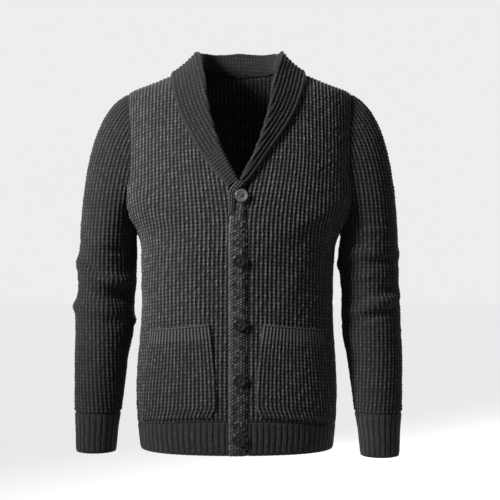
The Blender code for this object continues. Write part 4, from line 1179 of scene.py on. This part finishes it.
grid, length, place = collar_grid()
across_way = unit(np.gradient(grid, axis=1))
along_way = unit(np.gradient(grid, axis=0))
face = unit(np.cross(along_way, across_way))
if face[len(length) // 2, -1] @ np.array([0.0, 0.5, 1.0]) < 0:
    face = -face
from_seam = run_along(grid.swapaxes(0, 1)).T
from_edge = from_seam[:, -1:] - from_seam
wale = from_edge / COLLAR_WALE
course = np.broadcast_to((length / COURSE)[:, None], wale.shape)
chain = np.exp(-((from_edge - 0.0030) / 0.0020) ** 2)
# Near the wearer's right end the fall is cross-ribbed: short ribs run out to its free edge.
short_ribs = np.abs(np.cos(math.pi * (length[:, None] - 0.12 * from_edge) / 0.0056)) ** 0.9
short_ribs = short_ribs * (0.86 + 0.14 * np.cos(2 * math.pi * from_edge / 0.0060))
crossed = (1 - ease(0.85, 1.25, place))[:, None]
tall = mix(stitch_relief(wale, course, 101), short_ribs, crossed) * (1 - chain)
tall = tall + chain * (0.80 + 0.20 * np.cos(2 * math.pi * course * 1.5))
tips = ease(0.0, 0.012, np.minimum(length, length[-1] - length))[:, None]
firm = (0.3 + 0.7 * tips) * (0.35 + 0.65 * ease(0.0, 0.010, from_seam))
shown = grid + face * (tall * COLLAR_RELIEF * firm + CLOTH / 2 - 0.0012)[..., None]
under = grid - face * (CLOTH / 2)
edge_round = grid[:, -1:] + across_way[:, -1:] * 0.0010
# The underside needs few points: two in the fall and one at the edge, from the edge inwards.
keep = [grid.shape[1] - 1, FALL_POINTS + 14, FALL_POINTS + 10]
sheet = np.concatenate([shown, edge_round, under[:, keep]], axis=1)
ways = np.concatenate([face, face[:, -1:], -face[:, keep]], axis=1)
wale = np.concatenate([wale, wale[:, -1:] - 0.2, wale[:, keep]], axis=1)
tall = np.concatenate([tall, tall[:, -1:] * 0.6, np.full((len(grid), len(keep)), 0.7)], axis=1)
chart = np.stack([wale, np.broadcast_to((length / COURSE)[:, None], wale.shape)], axis=-1)
number = np.arange(wale.size).reshape(wale.shape)
# Painted shade: the collar takes the body's yarn at about a quarter of its brightness, for the
# shade that it lies in round the neck.
collar_yarn_painted_darker = yarn("charcoal_collar_yarn_painted_shade", (0.0032, 0.0033, 0.0035), (0.0112, 0.0114, 0.0120))
collar = knitted_piece("shawl_collar_knit", ("shawl_collar",), sheet.reshape(-1, 3),
                       grid_faces(number), ways.reshape(-1, 3), chart.reshape(-1, 2),
                       tall.ravel(), collar_yarn_painted_darker)

# ================================================================ the buttons
# Five black polyester buttons with a rolled rim and four holes, cross-stitched to the button
# band through the band in front of it, each beside its own short buttonhole. The holes are
# near-black discs on the face, painted shadow, and the top button is a lighter grey, painted
# light where it catches the key.
BUTTON_RADIUS = 0.0115
BUTTON_HOLE = 0.0013
BUTTON_HOLE_SPACING = 0.0046
BUTTONS = {
    "height": (-0.2345, -0.3472, -0.4600, -0.5580, -0.6604),
    "across": (0.0050, 0.0003, 0.0018, 0.0009, -0.0009),
    "turned": (12.0, -8.0, 25.0, 5.0, -18.0),
}
BUTTON_PROFILE = {           # across, as a share of the radius, and height above the back
    "share":  (0.00, 0.30, 0.50, 0.62, 0.70, 0.78, 0.86, 0.93, 0.98, 1.00, 0.985, 0.94, 0.80),
    "height": (0.0025, 0.0025, 0.0026, 0.0029, 0.0034, 0.00375, 0.0038, 0.0036, 0.0031, 0.0024,
               0.0014, 0.0005, 0.0),
}


def plain_finish(name, colour, roughness, gloss=0.1):
    made = bpy.data.materials.new(name)
    made.use_nodes = True
    shader = made.node_tree.nodes["Principled BSDF"]
    shader.inputs["Base Color"].default_value = (*colour, 1.0)
    shader.inputs["Roughness"].default_value = roughness
    shader.inputs["Specular IOR Level"].default_value = gloss
    return made


button_black = plain_finish("black_button", (0.0022, 0.0023, 0.0025), 0.20, 0.11)
# Painted light: the top button gets a lighter grey copy of the black finish, for the light that it
# catches.
button_painted_lit = plain_finish("button_in_the_light", (0.018, 0.0187, 0.0195), 0.24, 0.12)
buttonhole_thread = plain_finish("buttonhole_thread", (0.034, 0.035, 0.037), 0.9)
# Painted shadow: a near-black finish for the discs that stand in for the button holes.
painted_hole_shadow = plain_finish("button_hole_shadow", (0.002, 0.002, 0.002), 0.9)
thread_grey = plain_finish("button_thread", (0.009, 0.0093, 0.0100), 0.85)
SPOTS = 48                   # points round a button
round_way = np.arange(SPOTS) * 2 * math.pi / SPOTS
THREAD_SIDES = 8


def turned_rows(shares, heights, radius, centre=(0.0, 0.0)):
    """Points of a turned shape, a ring for each share of the radius, and its faces."""
    rings = [np.stack([centre[0] + share * radius * np.cos(round_way),
                       centre[1] + share * radius * np.sin(round_way),
                       np.full(SPOTS, height)], axis=1)
             for share, height in zip(shares, heights)]
    number = np.arange(len(rings) * SPOTS).reshape(len(rings), SPOTS)
    faces = grid_faces(np.concatenate([number, number[:, :1]], axis=1))[:, [0, 3, 2, 1]]
    return np.concatenate(rings), faces


def thread_bar(start, end, height, thick):
    """A stitch that arches from one hole to another: a bent round thread."""
    start, end = np.array(start), np.array(end)
    way = unit(end - start)
    side_way = np.array([-way[1], way[0]])
    points = []
    for t in np.linspace(0.0, 1.0, 11):
        rise = height + 0.0009 * math.sin(math.pi * t) - 0.0012 * (abs(2 * t - 1) > 0.99)
        for k in range(THREAD_SIDES):
            angle = k * 2 * math.pi / THREAD_SIDES
            spot = mix(start, end, t) + side_way * thick * math.cos(angle)
            points.append((*spot, rise + thick * math.sin(angle)))
    number = np.arange(len(points)).reshape(-1, THREAD_SIDES)
    return np.array(points), grid_faces(np.concatenate([number, number[:, :1]], axis=1))


for number, (height, across, turned) in enumerate(zip(*BUTTONS.values()), 1):
    parts = [(*turned_rows(BUTTON_PROFILE["share"], BUTTON_PROFILE["height"], BUTTON_RADIUS), 0)]
    holes = [(x * BUTTON_HOLE_SPACING / 2, y * BUTTON_HOLE_SPACING / 2)
             for x in (-1, 1) for y in (-1, 1)]
    for hole in holes:
        # Each hole is a flat near-black disc just above the button's face, painted shadow in place
        # of a cut hole.
        parts.append((*turned_rows((0.0, 1.0, 1.15), (0.00262, 0.00262, 0.0024), BUTTON_HOLE,
                                   hole), 1))
    parts.append((*thread_bar(holes[0], holes[3], 0.0029, 0.00050), 2))
    parts.append((*thread_bar(holes[1], holes[2], 0.0034, 0.00050), 2))
    level = np.array([math.cos(math.radians(turned)), -math.sin(math.radians(turned))])
    parts.append((*thread_bar(level * 0.0112, level * 0.0152, 0.0004, 0.00075), 3))
    points, faces, kinds = [], [], []
    for spot, polygons, kind in parts:
        faces += (polygons + len(points)).tolist()
        kinds += [kind] * len(polygons)
        points += spot.tolist()
    mesh = bpy.data.meshes.new(f"button_{number}_turned")
    mesh.from_pydata(points, [], faces)
    # The top button takes the painted-light grey, and the holes the painted shadow.
    for finish in (button_painted_lit if number == 1 else button_black, painted_hole_shadow, thread_grey,
                   buttonhole_thread):
        mesh.materials.append(finish)
    mesh.polygons.foreach_set("material_index", kinds)
    mesh.shade_smooth()
    turn = front_turn(1, side_angle(np.array(height), np.array(across), 1))
    place, out = body_cloth(np.array(height), turn)
    facing = Vector(out).to_track_quat("Z", "Y").to_matrix().to_4x4()
    spin = Matrix.Rotation(math.radians(turned), 4, "Z")
    mesh.transform(Matrix.Translation(Vector(place + out * (LAP + 2 * SEAM))) @ facing @ spin)
    button = bpy.data.objects.new(f"button_{number}_turned", mesh)
    bpy.context.scene.collection.objects.link(button)
    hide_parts(f"button_{number}")
    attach(button, "root")

# ================================================================ the studio
# A plain pale floor under an even pale sky, a soft key from the viewer's left in front, and a
# weaker light from behind that reaches only the back.
FLOOR_HEIGHT = -0.98
FLOOR_REACH = 12.0
CAMERA_DISTANCE = 2.2
VIEW_CENTRE = Vector((0.0194, -0.07, -0.329))
VIEW_WIDTH = 0.925

mesh = bpy.data.meshes.new("floor")
mesh.from_pydata([(x * FLOOR_REACH, y * FLOOR_REACH, FLOOR_HEIGHT)
                  for x, y in ((-1, -1), (1, -1), (1, 1), (-1, 1))], [], [(0, 1, 2, 3)])
mesh.materials.append(plain_finish("floor", (0.97, 0.97, 0.97), 0.9))
floor = bpy.data.objects.new("floor", mesh)
bpy.context.scene.collection.objects.link(floor)

world = bpy.data.worlds.new("studio")
world.use_nodes = True
world.node_tree.nodes["Background"].inputs["Color"].default_value = (1.0, 1.0, 1.0, 1.0)
world.node_tree.nodes["Background"].inputs["Strength"].default_value = 0.85
bpy.context.scene.world = world
bpy.context.scene.view_settings.view_transform = "Standard"


def softbox(name, place, aim, size, power, spread):
    light = bpy.data.lights.new(name, "AREA")
    light.shape = "RECTANGLE"
    light.size, light.size_y = size
    light.energy = power
    light.spread = math.radians(spread)
    lamp = bpy.data.objects.new(name, light)
    lamp.location = place
    lamp.rotation_euler = (Vector(aim) - Vector(place)).to_track_quat("-Z", "Y").to_euler()
    bpy.context.scene.collection.objects.link(lamp)


softbox("back_fill", (1.0, 2.1, 0.3), (0.0, 0.1, -0.35), (1.2, 1.4), 16.0, 60)
softbox("key", (-1.75, -1.30, 0.75), (-0.07, -0.14, -0.15), (0.6, 0.8), 31.0, 38)

lens = bpy.data.cameras.new("camera")
lens.sensor_width = 36.0
lens.lens = CAMERA_DISTANCE / VIEW_WIDTH * lens.sensor_width
lens.clip_end = 60.0
camera = bpy.data.objects.new("camera", lens)
camera.location = VIEW_CENTRE - Vector((0.0, CAMERA_DISTANCE, 0.0))
camera.rotation_euler = (math.pi / 2, 0.0, 0.0)
bpy.context.scene.collection.objects.link(camera)
bpy.context.scene.camera = camera
